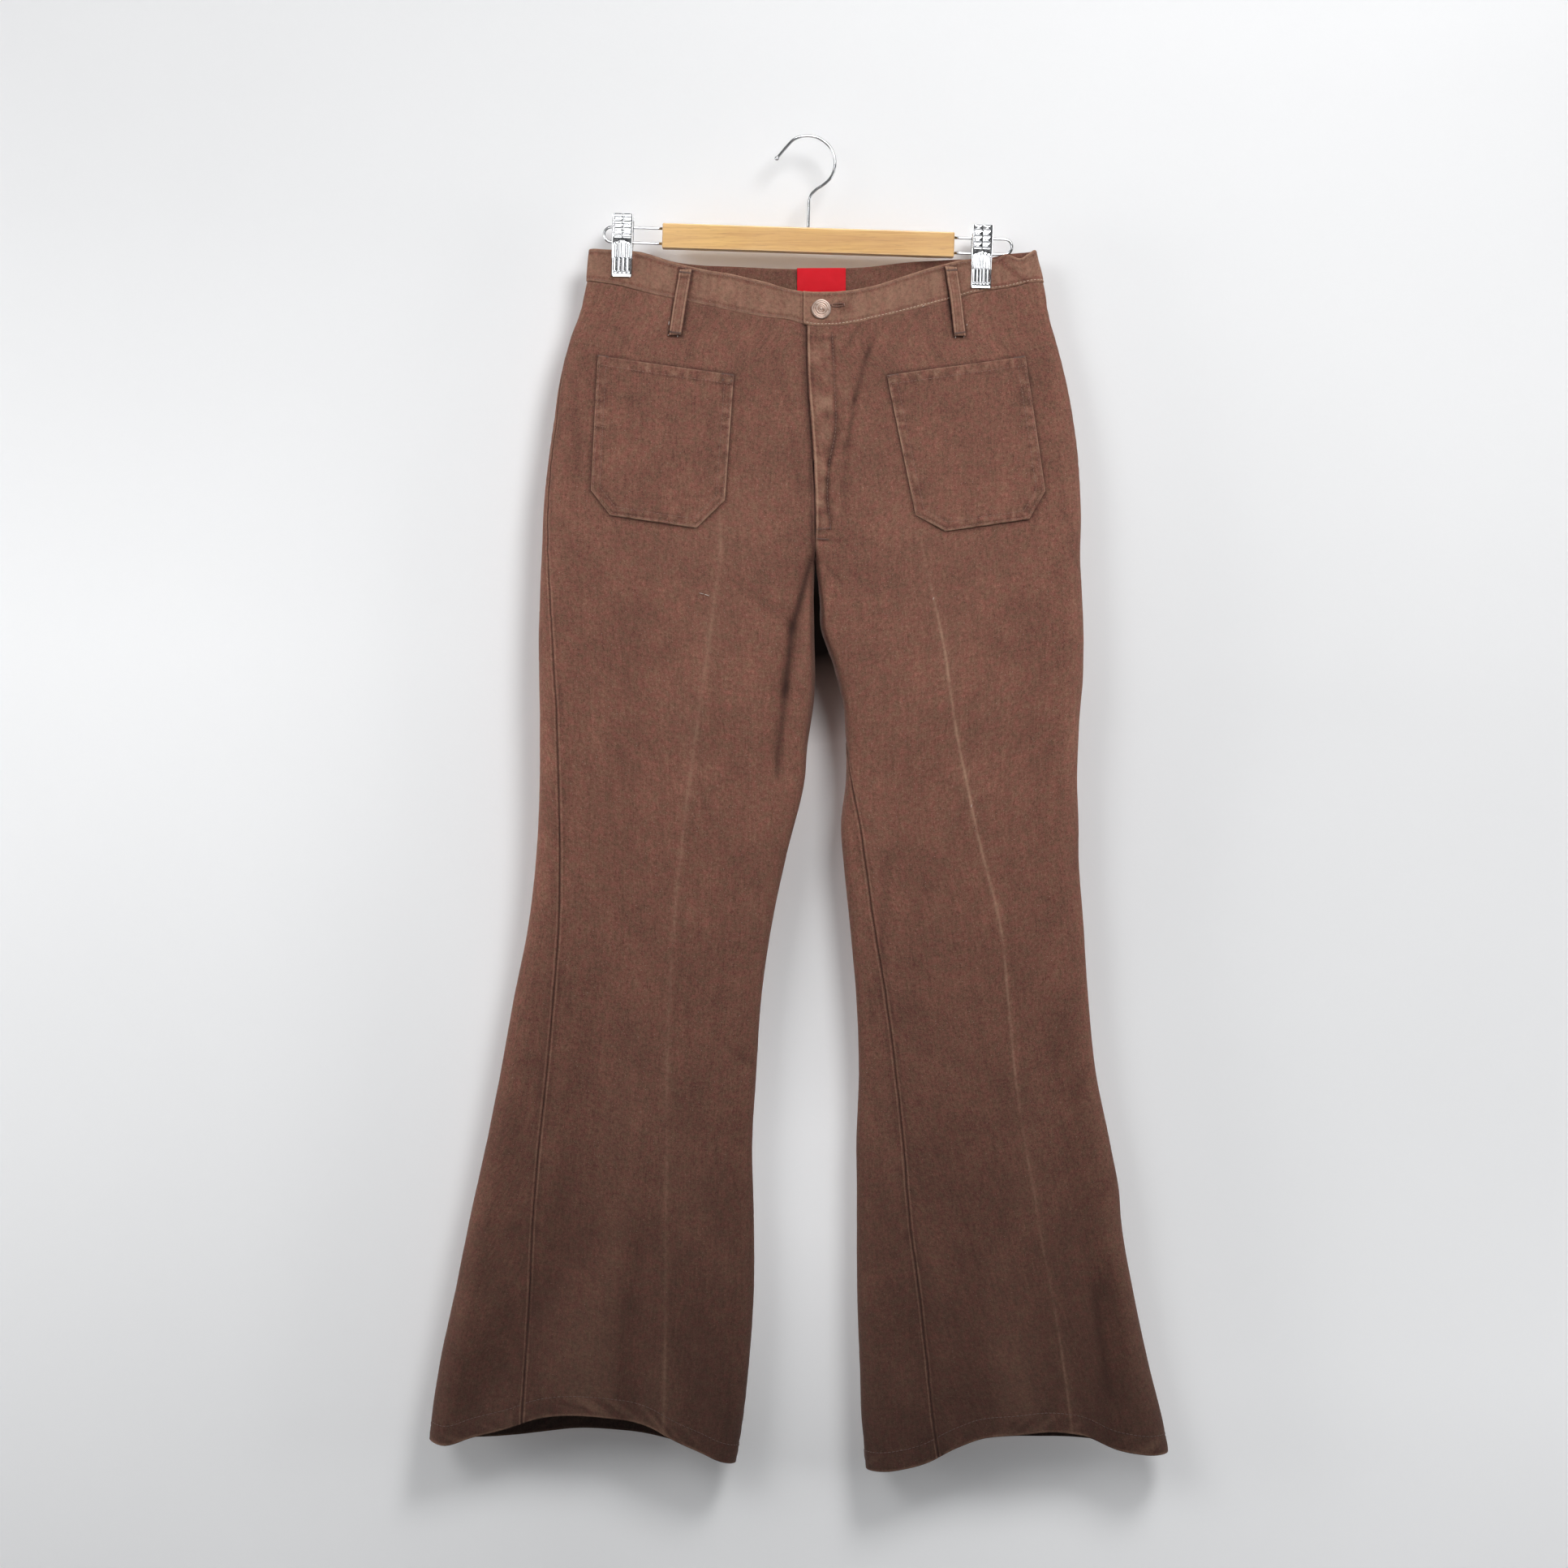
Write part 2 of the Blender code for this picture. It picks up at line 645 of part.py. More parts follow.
def build_panel(side, face):
    name = face + "_" + side
    u, z = panel_grid(side, face)
    lap = FLY_LAP if (side, face) == ("left", "front") else 0.0
    outer = leg_point(side, u, z, lap)
    torso = z >= CROTCH_Z
    width = np.abs(leg_value(side, "inner", z) - leg_value(side, "outer", z))
    # Above the crotch the centre seam stops each face, so the slope is read on one side of it.
    limit_low = np.where(torso & (face == "back"), width + SEAM_GAP / 2, -NO_LIMIT)
    limit_high = np.where(torso & (face == "front"), width + lap - SEAM_GAP / 2,
                          NO_LIMIT)
    direction = inward(side, u, z, limit_low, limit_high, lap)
    vertices, faces = closed_grid(outer, outer + direction * WALL)
    return make_object(name, vertices, faces, denim(name))


def face_point(face, x, z):
    """The cloth's outer face above the crotch, seen from the front or the back, at x and z."""
    centre = leg_value("left", "inner", z)
    side = np.where(x < centre, "left", "right")
    points = []
    for one_side, one_x, one_z in zip(side.ravel(), np.ravel(x), np.ravel(z)):
        outer = leg_value(one_side, "outer", one_z)
        inner = leg_value(one_side, "inner", one_z)
        width = abs(inner - outer)
        run = abs(one_x - outer)
        u = run if face == "front" else 2 * width - run
        point = leg_point(str(one_side), np.array(u), np.array(one_z))
        points.append(point)
    return np.array(points).reshape(np.shape(x) + (3,))


def laid_grid(face, x, z, lift):
    """Points on the cloth's outer face, moved out along it by the lift."""
    point = face_point(face, x, z)
    across = face_point(face, x + LAID_STEP, z) - face_point(face, x - LAID_STEP, z)
    up = face_point(face, x, z + LAID_STEP) - face_point(face, x, z - LAID_STEP)
    normal = np.cross(across, up)
    normal = normal / np.linalg.norm(normal, axis=-1, keepdims=True)
    if face == "back":
        normal = -normal
    return point + normal * np.asarray(lift)[..., None]


def build_pocket(side):
    """A patch pocket with two clipped lower corners, laid on the front."""
    outline = POCKETS[side]
    rows = [np.array(outline["top"][0] + outline["top"][1])]
    shoulder = np.array(outline["shoulder"][0] + outline["shoulder"][1])
    for i in range(1, POCKET_SIDE_ROWS + 1):
        rows.append(rows[0] + (shoulder - rows[0]) * i / POCKET_SIDE_ROWS)
    bottom = np.array(outline["bottom"][0] + outline["bottom"][1])
    rows.append((shoulder + bottom) / 2)
    rows.append(bottom)
    share = np.linspace(0, 1, POCKET_COLUMN_COUNT)
    x = np.array([row[0] + (row[2] - row[0]) * share for row in rows])
    z = np.array([row[1] + (row[3] - row[1]) * share for row in rows])
    under = laid_grid("front", x, z, np.full(x.shape, LAY_GAP))
    over = laid_grid("front", x, z, np.full(x.shape, LAY_GAP + POCKET_THICK))
    name = "pocket_" + side
    vertices, faces = closed_grid(over, under)
    return make_object(name, vertices, faces, denim(name))


def build_loop(name):
    """A belt loop over the waistband, held at its two ends and slack between them."""
    face, x0, z0, x1, z1, stand = LOOPS[name]
    along = np.linspace(0, 1, LOOP_ROW_COUNT)[:, None]
    across = np.array([-0.5, 0.5])[None, :]
    x = x0 + (x1 - x0) * along + across * LOOP_WIDTH
    z = z0 + (z1 - z0) * along + 0 * across
    slack = LOOP_BULGE * np.sin(math.pi * along) ** 0.7 + 0 * across
    lift = stand + BAND_PROUD + slack
    under = laid_grid(face, x, z, lift)
    over = laid_grid(face, x, z, lift + LOOP_THICK)
    vertices, faces = closed_grid(over, under)
    return make_object(name, vertices, faces, denim(name))


def band_stations():
    """Side, face and share of the width for each station round the waistband.

    They start at the overlapping end at the front, go round the right side and the back,
    and end under it, at the columns of the panels below so that the two edges run alike.
    """
    front = np.array(FRONT_COLUMNS)
    back = np.array(BACK_COLUMNS)
    waist = float(leg_value("right", "outer", WAIST_Z))
    stations = [("right", "front", 1 + TAB_REACH / waist)]
    stations += [("right", "front", share) for share in front[::-1]]
    stations += [("right", "back", 1 - share) for share in back[::-1]]
    stations += [("left", "back", 1 - share) for share in back[1:]]
    stations += [("left", "front", share) for share in front]
    return stations


def band_edge(column):
    """Points of the waistband along one of its edges, named by its column."""
    points = []
    for side, face, share in band_stations():
        table = BAND_FRONT if face == "front" else BAND_BACK
        waist = float(leg_value(side, "outer", WAIST_Z))
        z = float(read_table(table, BAND_COLUMNS, column, waist * (1 - share)))
        width = abs(float(leg_value(side, "outer", z)))
        lap = FLY_LAP if (side, face) == ("left", "front") else 0.0
        run = SEAM_GAP / 2 + (width + lap - SEAM_GAP) * share
        u = run if face == "front" else 2 * width - run
        reach = 2 * FLY_LAP if face == "front" else 0.0
        points.append(leg_point(side, np.array(u), np.array(z), reach))
    return np.array(points)


def build_waistband():
    """One strip that starts at the overlapping end and goes right round."""
    top = band_edge("top")
    bottom = band_edge("seam")
    along = np.gradient((top + bottom) / 2, axis=0)
    normal = np.cross(along, top - bottom)
    normal = normal / np.linalg.norm(normal, axis=1, keepdims=True)
    outer = np.array([top + normal * BAND_PROUD, bottom + normal * BAND_PROUD])
    inner = outer - normal * BAND_WALL
    vertices, faces = closed_grid(outer, inner)
    return make_object("waistband", vertices, faces, denim("waistband"))


def build_button():
    """A shank button: a turned metal cap that stands on the waistband."""
    base = float(face_point("front", np.array([BUTTON_X]), np.array([BUTTON_Z]))[0, 1])
    base = base - BAND_PROUD - SEAM_GAP
    vertices = []
    for radius_share, rise in BUTTON_PROFILE:
        for i in range(BUTTON_SIDES):
            angle = 2 * math.pi * i / BUTTON_SIDES
            radius = BUTTON_RADIUS * radius_share
            vertices.append((BUTTON_X + radius * math.cos(angle), base - rise,
                             BUTTON_Z + radius * math.sin(angle)))
    faces = []
    for ring in range(len(BUTTON_PROFILE) - 1):
        for i in range(BUTTON_SIDES):
            j = (i + 1) % BUTTON_SIDES
            a = ring * BUTTON_SIDES
            b = a + BUTTON_SIDES
            faces.append((a + i, a + j, b + j, b + i))
    last = (len(BUTTON_PROFILE) - 1) * BUTTON_SIDES
    faces.append(tuple(range(BUTTON_SIDES)))
    faces.append(tuple(range(last + BUTTON_SIDES - 1, last - 1, -1)))
    material = make_material("shank_button_metal", (0.5, 0.47, 0.43), 0.4, 1.0)
    return make_object("shank_button", vertices, faces, material)


def build_label():
    """A plain woven label on the inner face of the back of the waistband."""
    x = np.linspace(LABEL_X[0], LABEL_X[1], 6)[None, :] + np.zeros((2, 1))
    z = np.array([LABEL_TOP, LABEL_TOP - LABEL_HEIGHT])[:, None] + np.zeros((1, 6))
    inside = BAND_PROUD - BAND_WALL - LAY_GAP
    under = laid_grid("back", x, z, np.full(x.shape, inside))
    over = laid_grid("back", x, z, np.full(x.shape, inside - LABEL_THICK))
    vertices, faces = closed_grid(over, under)
    material = make_material("waist_label_red", (0.6, 0.02, 0.03), 0.7, 0.0)
    return make_object("waist_label", vertices, faces, material)


def tilted(point):
    """A point of the upright hanger turned clockwise about the origin."""
    x, y, z = point
    angle = math.radians(TILT)
    return (x * math.cos(angle) + z * math.sin(angle), y,
            -x * math.sin(angle) + z * math.cos(angle))


def build_bar():
    """The hanger's wooden bar, a long block with its edges eased."""
    shape = bmesh.new()
    bmesh.ops.create_cube(shape, size=1.0)
    bmesh.ops.scale(shape, vec=(BAR_LENGTH, BAR_DEPTH, BAR_HEIGHT), verts=shape.verts[:])
    bmesh.ops.bevel(shape, geom=shape.edges[:], offset=BAR_EDGE, segments=2, profile=0.5,
                    affect="EDGES")
    shape.verts.ensure_lookup_table()
    vertices = [tilted((v.co.x + BAR_X, v.co.y, v.co.z + BAR_Z)) for v in shape.verts]
    faces = [tuple(v.index for v in face.verts) for face in shape.faces]
    shape.free()
    return make_object("hanger_bar", vertices, faces, wood("hanger_bar"))


def tube(points, radii, sides=WIRE_SIDES):
    """A round bar along points in the plane of the hanger, with flat ends."""
    points = np.array(points, float)
    along = np.gradient(points, axis=0)
    along = along / np.linalg.norm(along, axis=1, keepdims=True)
    vertices = []
    for point, direction, radius in zip(points, along, radii):
        across = np.array([-direction[2], 0.0, direction[0]])
        for i in range(sides):
            angle = 2 * math.pi * i / sides
            offset = math.cos(angle) * across + math.sin(angle) * np.array([0.0, 1.0, 0.0])
            vertices.append(tilted(point + offset * radius))
    faces = []
    for ring in range(len(points) - 1):
        for i in range(sides):
            j = (i + 1) % sides
            a = ring * sides
            b = a + sides
            faces.append((a + i, a + j, b + j, b + i))
    last = (len(points) - 1) * sides
    faces.append(tuple(range(sides)))
    faces.append(tuple(range(last + sides - 1, last - 1, -1)))
    return vertices, faces


def build_rail(side):
    """A wire that leaves the bar's end, turns back on itself and returns to it."""
    sign = -1 if side == "left" else 1
    start = BAR_X + sign * (BAR_LENGTH / 2 + SEAM_GAP)
    bend = RAIL_SPACING / 2
    turn_x = RAIL_X + sign * (RAIL_REACH - RAIL_WIRE / 2 - bend)
    points = [(start, 0, BAR_Z + bend)]
    for i in range(RAIL_BEND_STEPS + 1):
        angle = math.pi / 2 - math.pi * i / RAIL_BEND_STEPS
        points.append((turn_x + sign * bend * math.cos(angle), 0, BAR_Z + bend * math.sin(angle)))
    points.append((start, 0, BAR_Z - bend))
    name = "hanger_rail_" + side
    vertices, faces = tube(points, [RAIL_WIRE / 2] * len(points))
    return make_object(name, vertices, faces, chrome(name))


def build_hook():
    """The hook: a wire from its ball tip over the top and down into the bar."""
    points = [(x, 0.0, z) for x, z in HOOK]
    top_of_bar = BAR_Z + BAR_HEIGHT / 2 + SEAM_GAP
    points[-1] = (HOOK[-1][0], 0.0, top_of_bar)
    radii = [HOOK_WIRE / 2] * len(points)
    first = np.array(points[0])
    toward = first - np.array(points[1])
    toward = toward / np.linalg.norm(toward)
    points = [tuple(first + toward * step) for step, _ in BALL_RINGS] + points
    radii = [radius for _, radius in BALL_RINGS] + radii
    vertices, faces = tube(points, radii)
    return make_object("hanger_hook", vertices, faces, chrome("hanger_hook"))


def jaw_relief(x_share, z):
    """Flutes down the lower part of a front jaw and ribs across its upper part."""
    if z < CLIP_BREAK:
        fade = min(1.0, max(0.0, (z - CLIP_FOOT - FLUTE_FOOT) / FLUTE_FADE))
        return FLUTE_HEIGHT * fade * abs(math.sin(math.pi * FLUTES * x_share))
    t = (z - CLIP_BREAK) / (CLIP_TOP - CLIP_BREAK)
    return FLUTE_HEIGHT * abs(math.sin(math.pi * RIBS * t))


def build_jaw(side, face):
    """One pressed steel jaw of a clip: a channel that leans in to grip the cloth."""
    centre = CLIP_X[0] if side == "left" else CLIP_X[1]
    sign = -1 if face == "front" else 1
    step_rows = FRONT_JAW_ROWS if face == "front" else BACK_JAW_ROWS
    columns = FRONT_JAW_COLUMNS if face == "front" else BACK_JAW_COLUMNS
    outer = []
    inner = []
    for z in step_rows:
        stand = float(straight_read(CLIP_PROFILE, CLIP_COLUMNS, "stand_off", z))
        outer_row = []
        inner_row = []
        low = stand
        high = stand + CLIP_SHEET
        edge_low = max(stand - FLANGE, CLIP_GRIP)
        half = CLIP_WIDTH / 2
        outer_row.append((-half, edge_low))
        inner_row.append((-half + CLIP_SHEET, edge_low))
        for i in range(columns):
            share = i / (columns - 1)
            rise = jaw_relief(share, z) if face == "front" else 0.0
            outer_row.append((-half + CLIP_WIDTH * share, high + rise))
            inner_row.append((-half + CLIP_SHEET + (CLIP_WIDTH - 2 * CLIP_SHEET) * share, low))
        outer_row.append((half, edge_low))
        inner_row.append((half - CLIP_SHEET, edge_low))
        outer.append([tilted((centre + x, sign * y, z)) for x, y in outer_row])
        inner.append([tilted((centre + x, sign * y, z)) for x, y in inner_row])
    name = "clip_" + side + "_jaw_" + face
    vertices, faces = closed_grid(np.array(outer), np.array(inner))
    return make_object(name, vertices, faces, chrome(name))


def build_spring(side):
    """The spring block of a clip: it fills the space between the two rails and the jaws."""
    centre = CLIP_X[0] if side == "left" else CLIP_X[1]
    half_height = RAIL_SPACING / 2 - RAIL_WIRE / 2 - SEAM_GAP
    half_width = SPRING_WIDTH / 2
    vertices = []
    for z in (BAR_Z - half_height, BAR_Z + half_height):
        stand = min(float(straight_read(CLIP_PROFILE, CLIP_COLUMNS, "stand_off", z - half_height / 4)),
                    float(straight_read(CLIP_PROFILE, CLIP_COLUMNS, "stand_off", z)))
        reach = stand - SEAM_GAP
        for x, y in ((-half_width, -reach), (half_width, -reach), (half_width, reach),
                     (-half_width, reach)):
            vertices.append(tilted((centre + x, y, z)))
    faces = [(3, 2, 1, 0), (4, 5, 6, 7), (0, 1, 5, 4), (1, 2, 6, 5), (2, 3, 7, 6), (3, 0, 4, 7)]
    name = "clip_" + side + "_spring"
    return make_object(name, vertices, faces, chrome(name), smooth=False)


def main():
    for thing in list(bpy.data.objects):
        bpy.data.objects.remove(thing, do_unlink=True)
    for side in ("left", "right"):
        for face in ("front", "back"):
            build_panel(side, face)
        build_pocket(side)
        build_rail(side)
        build_jaw(side, "front")
        build_jaw(side, "back")
        build_spring(side)
    for name in LOOPS:
        build_loop(name)
    build_waistband()
    build_button()
    build_label()
    build_bar()
    build_hook()


main()
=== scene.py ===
"""Flared denim trousers on a wooden clip hanger: cloth, sewing, metal, wood and the studio.

Every table is in millimetres and becomes metres when a mesh is made. +Z is up, the front faces
-Y and the origin is the inside top of the hanger's hook. Left and right are as seen from the front.

A leg is a flattened tube. Its cross-section at one height runs from the outer fold across the
front to the inner fold, and back across the back. The distance along it is u: 0 at the outer
fold, w at the inner fold or the centre, 2 w at the outer fold again.
"""

import math

import bmesh
import bpy
import numpy as np
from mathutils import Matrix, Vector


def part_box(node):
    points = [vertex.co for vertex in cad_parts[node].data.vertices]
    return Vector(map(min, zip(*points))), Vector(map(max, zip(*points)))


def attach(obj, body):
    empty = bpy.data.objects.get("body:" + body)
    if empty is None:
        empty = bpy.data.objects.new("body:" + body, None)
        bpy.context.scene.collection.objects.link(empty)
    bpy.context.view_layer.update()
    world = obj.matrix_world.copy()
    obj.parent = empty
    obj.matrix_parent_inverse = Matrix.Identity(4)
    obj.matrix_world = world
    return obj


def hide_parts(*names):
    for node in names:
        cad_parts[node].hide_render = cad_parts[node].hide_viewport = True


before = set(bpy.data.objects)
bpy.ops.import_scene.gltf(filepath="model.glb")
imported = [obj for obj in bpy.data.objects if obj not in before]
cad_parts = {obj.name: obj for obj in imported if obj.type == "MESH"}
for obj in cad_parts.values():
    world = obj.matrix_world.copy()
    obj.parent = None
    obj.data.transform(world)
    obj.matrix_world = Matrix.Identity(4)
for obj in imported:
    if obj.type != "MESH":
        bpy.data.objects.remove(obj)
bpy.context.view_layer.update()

bl_info = {
    "name": "Flared trousers on a clip hanger",
    "version": (1, 0, 0),
    "blender": (4, 5, 0),
    "location": "View3D > Sidebar > Trousers",
    "description": "Builds the cloth, sewing, hanger and studio around the packed part",
    "category": "Object",
}

MM = 0.001

# Cloth
BAND_WALL = 2.4
SEAM_GAP = 0.1
LAY_GAP = 0.35
BAND_PROUD = 0.5
FLY_LAP = 10.0
FLY_LAP_FADE = (-255.0, -292.0)
FLY_RISE = 2.9
FLY_RISE_FADE = (-285.0, -320.0)
FLY_STEP_WIDTH = 13.0
FLY_STEP_FALL = 16.0
TAB_REACH = 3.0
CROTCH_Z = -375.0
FORK_HEIGHT = 48.0
PINCH_X = (-162.0, 153.0)
PINCH_HALF = 2.1
PINCH_FLAT = 12.0
PINCH_REACH = 20.0
PINCH_FLOOR_Z = -134.0
PINCH_FALL = 42.0
CREASE_RIDGE = 2.0
CREASE_REACH = 28.0

# Half depths of the tube, in front of and behind the plane of the folds
DEPTH_COLUMNS = ("z", "front", "back", "round_out", "round_in")
DEPTHS = (
    (-95, 9, 7, 13, 14),
    (-127, 10, 8, 14, 14),
    (-180, 13, 10, 16, 14),
    (-244, 16, 12, 18, 14),
    (-308, 18, 13, 19, 14),
    (-375, 20, 14, 20, 9),
    (-437, 21, 14, 20, 8),
    (-501, 21, 14, 20, 10),
    (-566, 20, 14, 20, 15),
    (-630, 19, 13, 20, 18),
    (-759, 17, 12, 20, 19),
    (-887, 18, 13, 20, 20),
    (-1016, 21, 15, 22, 22),
    (-1136, 25, 17, 24, 24),
    (-1180, 26, 18, 24, 24),
)

# Each leg's edges. out_seam and in_seam are how far a side seam lies from its fold,
# on the front where positive and on the back where negative.
LEG_COLUMNS = ("z", "outer", "inner", "inner_y", "out_seam", "in_seam", "crease")
LEFT_LEG = (
    (-95, -191, 0, 0, 0, 0, -95),
    (-127, -194, 0, 0, 0, 0, -92),
    (-151, -199, 0, 0, 0, 0, -90),
    (-180, -208.8, 0, 0, 0, 0, -88),
    (-218, -218, 1, 0, 1.5, 0, -86),
    (-244, -221.7, 3, 0, 2.5, 0, -84),
    (-308, -230.2, 7, 0, 4, 0, -79),
    (-375, -233.8, 7.2, 0, 7, 0, -76),
    (-405, -235, 6.4, 4, 10, -3, -80),
    (-437, -236, 6.8, 8, 13, -8, -84),
    (-480, -235.6, 7.4, 9, 15, -12, -90),
    (-501, -235.2, 6, 9, 16, -14, -93),
    (-533, -235.2, 1, 5, 17, -15, -98),
    (-566, -235.2, -1.8, 0, 18, -15, -102),
    (-630, -238.1, -17.2, 0, 22, -14, -110),
    (-694, -245.2, -30.7, 0, 28, -15, -116),
    (-759, -258.1, -40, 0, 36, -20, -120),
    (-823, -269.6, -44.3, 0, 42, -28, -122),
    (-887, -282.4, -47.9, 0, 48, -35, -122),
    (-952, -296.7, -46.5, 0, 57, -40, -123),
    (-1016, -309.6, -46.5, 0, 67, -45, -123),
    (-1080, -323.2, -50.8, 0, 77, -49, -124),
    (-1136, -331.2, -57, 0, 82, -52, -125),
    (-1180, -333.5, -64.8, 0, 84, -54, -126),
)
RIGHT_LEG = (
    (-95, 199.5, 0, 0, 0, 0, 95),
    (-110, 205.4, 0, 0, 0, 0, 95),
    (-127, 208.6, 0, 0, 0, 0, 95),
    (-151, 212.4, 0, 0, 0, 0, 95),
    (-180, 219.5, 0, 0, 0, 0, 95),
    (-218, 229, 1, 0, -1, 0, 96),
    (-244, 233.8, 3, 0, -2, 0, 97),
    (-287, 239.3, 6, 0, -3, 0, 98),
    (-330, 241.4, 7.5, 0, -4, 0, 98),
    (-375, 241, 7.8, 0, -5, 0, 103),
    (-405, 242.5, 11, 4, -6, 0, 110),
    (-437, 243.8, 13.2, 7, -7, 0, 117),
    (-458, 243.6, 21, 5, -7, 0, 121),
    (-480, 243.1, 27.2, 2, -8, 0, 124),
    (-501, 241, 31.8, 0, -9, 0, 127),
    (-533, 239.2, 34.3, 0, -10, 0, 132),
    (-566, 238.1, 34.3, 0, -11, 4, 139),
    (-609, 239.5, 30, 0, -12, 17, 148),
    (-630, 239.5, 31.5, 0, -16, 18.5, 153),
    (-694, 243.8, 37.9, 0, -28, 21, 169),
    (-759, 248, 43.6, 0, -32, 26, 176),
    (-823, 254.5, 45.8, 0, -33, 32, 182),
    (-887, 267.4, 43.6, 0, -36, 41, 191),
    (-930, 275.2, 44, 0, -39, 44, 199),
    (-952, 276.7, 44, 0, -41, 46, 202),
    (-1016, 287.4, 44.3, 0, -45, 54, 214),
    (-1080, 301, 46.5, 0, -47, 59, 224),
    (-1136, 314.6, 48.6, 0, -50, 63, 231),
    (-1180, 321.5, 53, 0, -52, 66, 236),
)

# Heights of the hem across each leg. share runs from the outer fold to the inner fold.
HEM_COLUMNS = ("share", "front", "back")
LEFT_HEM = (
    (0.0, -1146, -1146),
    (0.05, -1148, -1148),
    (0.15, -1140, -1148.5),
    (0.25, -1133, -1147),
    (0.35, -1124, -1144),
    (0.47, -1120.5, -1140.5),
    (0.6, -1124, -1142),
    (0.7, -1130, -1145),
    (0.8, -1144, -1151),
    (0.88, -1154, -1158),
    (0.95, -1163, -1164),
    (1.0, -1167, -1167),
)
RIGHT_HEM = (
    (0.0, -1157, -1157),
    (0.1, -1155, -1155),
    (0.18, -1151, -1152),
    (0.27, -1139, -1149),
    (0.36, -1135, -1147),
    (0.5, -1137.5, -1147),
    (0.6, -1141, -1150),
    (0.7, -1150, -1155),
    (0.8, -1163, -1164),
    (0.9, -1169, -1169),
    (1.0, -1172, -1172),
)

# Heights of the waistband's two edges. The front dips lower than the back.
WAIST_Z = -140.0
BAND_COLUMNS = ("x", "top", "seam")
BAND_FRONT = (
    (-195, -98.7, -127.3),
    (-166, -100, -131),
    (-150, -102, -135),
    (-123, -111, -142.5),
    (-92, -118.7, -149.4),
    (-67, -122.5, -154.6),
    (-36, -129.5, -160.2),
    (-12, -136, -163.5),
    (2, -138, -168),
    (26, -137.6, -168),
    (57, -133, -162.3),
    (88, -123.7, -155.2),
    (119, -114.4, -146.6),
    (144, -108, -138.7),
    (162, -107.6, -135.1),
    (172, -107.3, -134),
    (181, -103.2, -133),
    (193, -108, -130.5),
    (200, -105, -129.3),
    (209, -100, -128.5),
)
BAND_BACK = (
    (-195, -98.7, -127.3),
    (-150, -101, -130),
    (-118, -109, -137),
    (-60, -113, -141.5),
    (0, -115, -143.5),
    (50, -113.5, -142),
    (95, -108.8, -137),
    (128, -107.5, -134),
    (165, -106.6, -131.5),
    (181, -103, -130),
    (209, -100, -128.5),
)

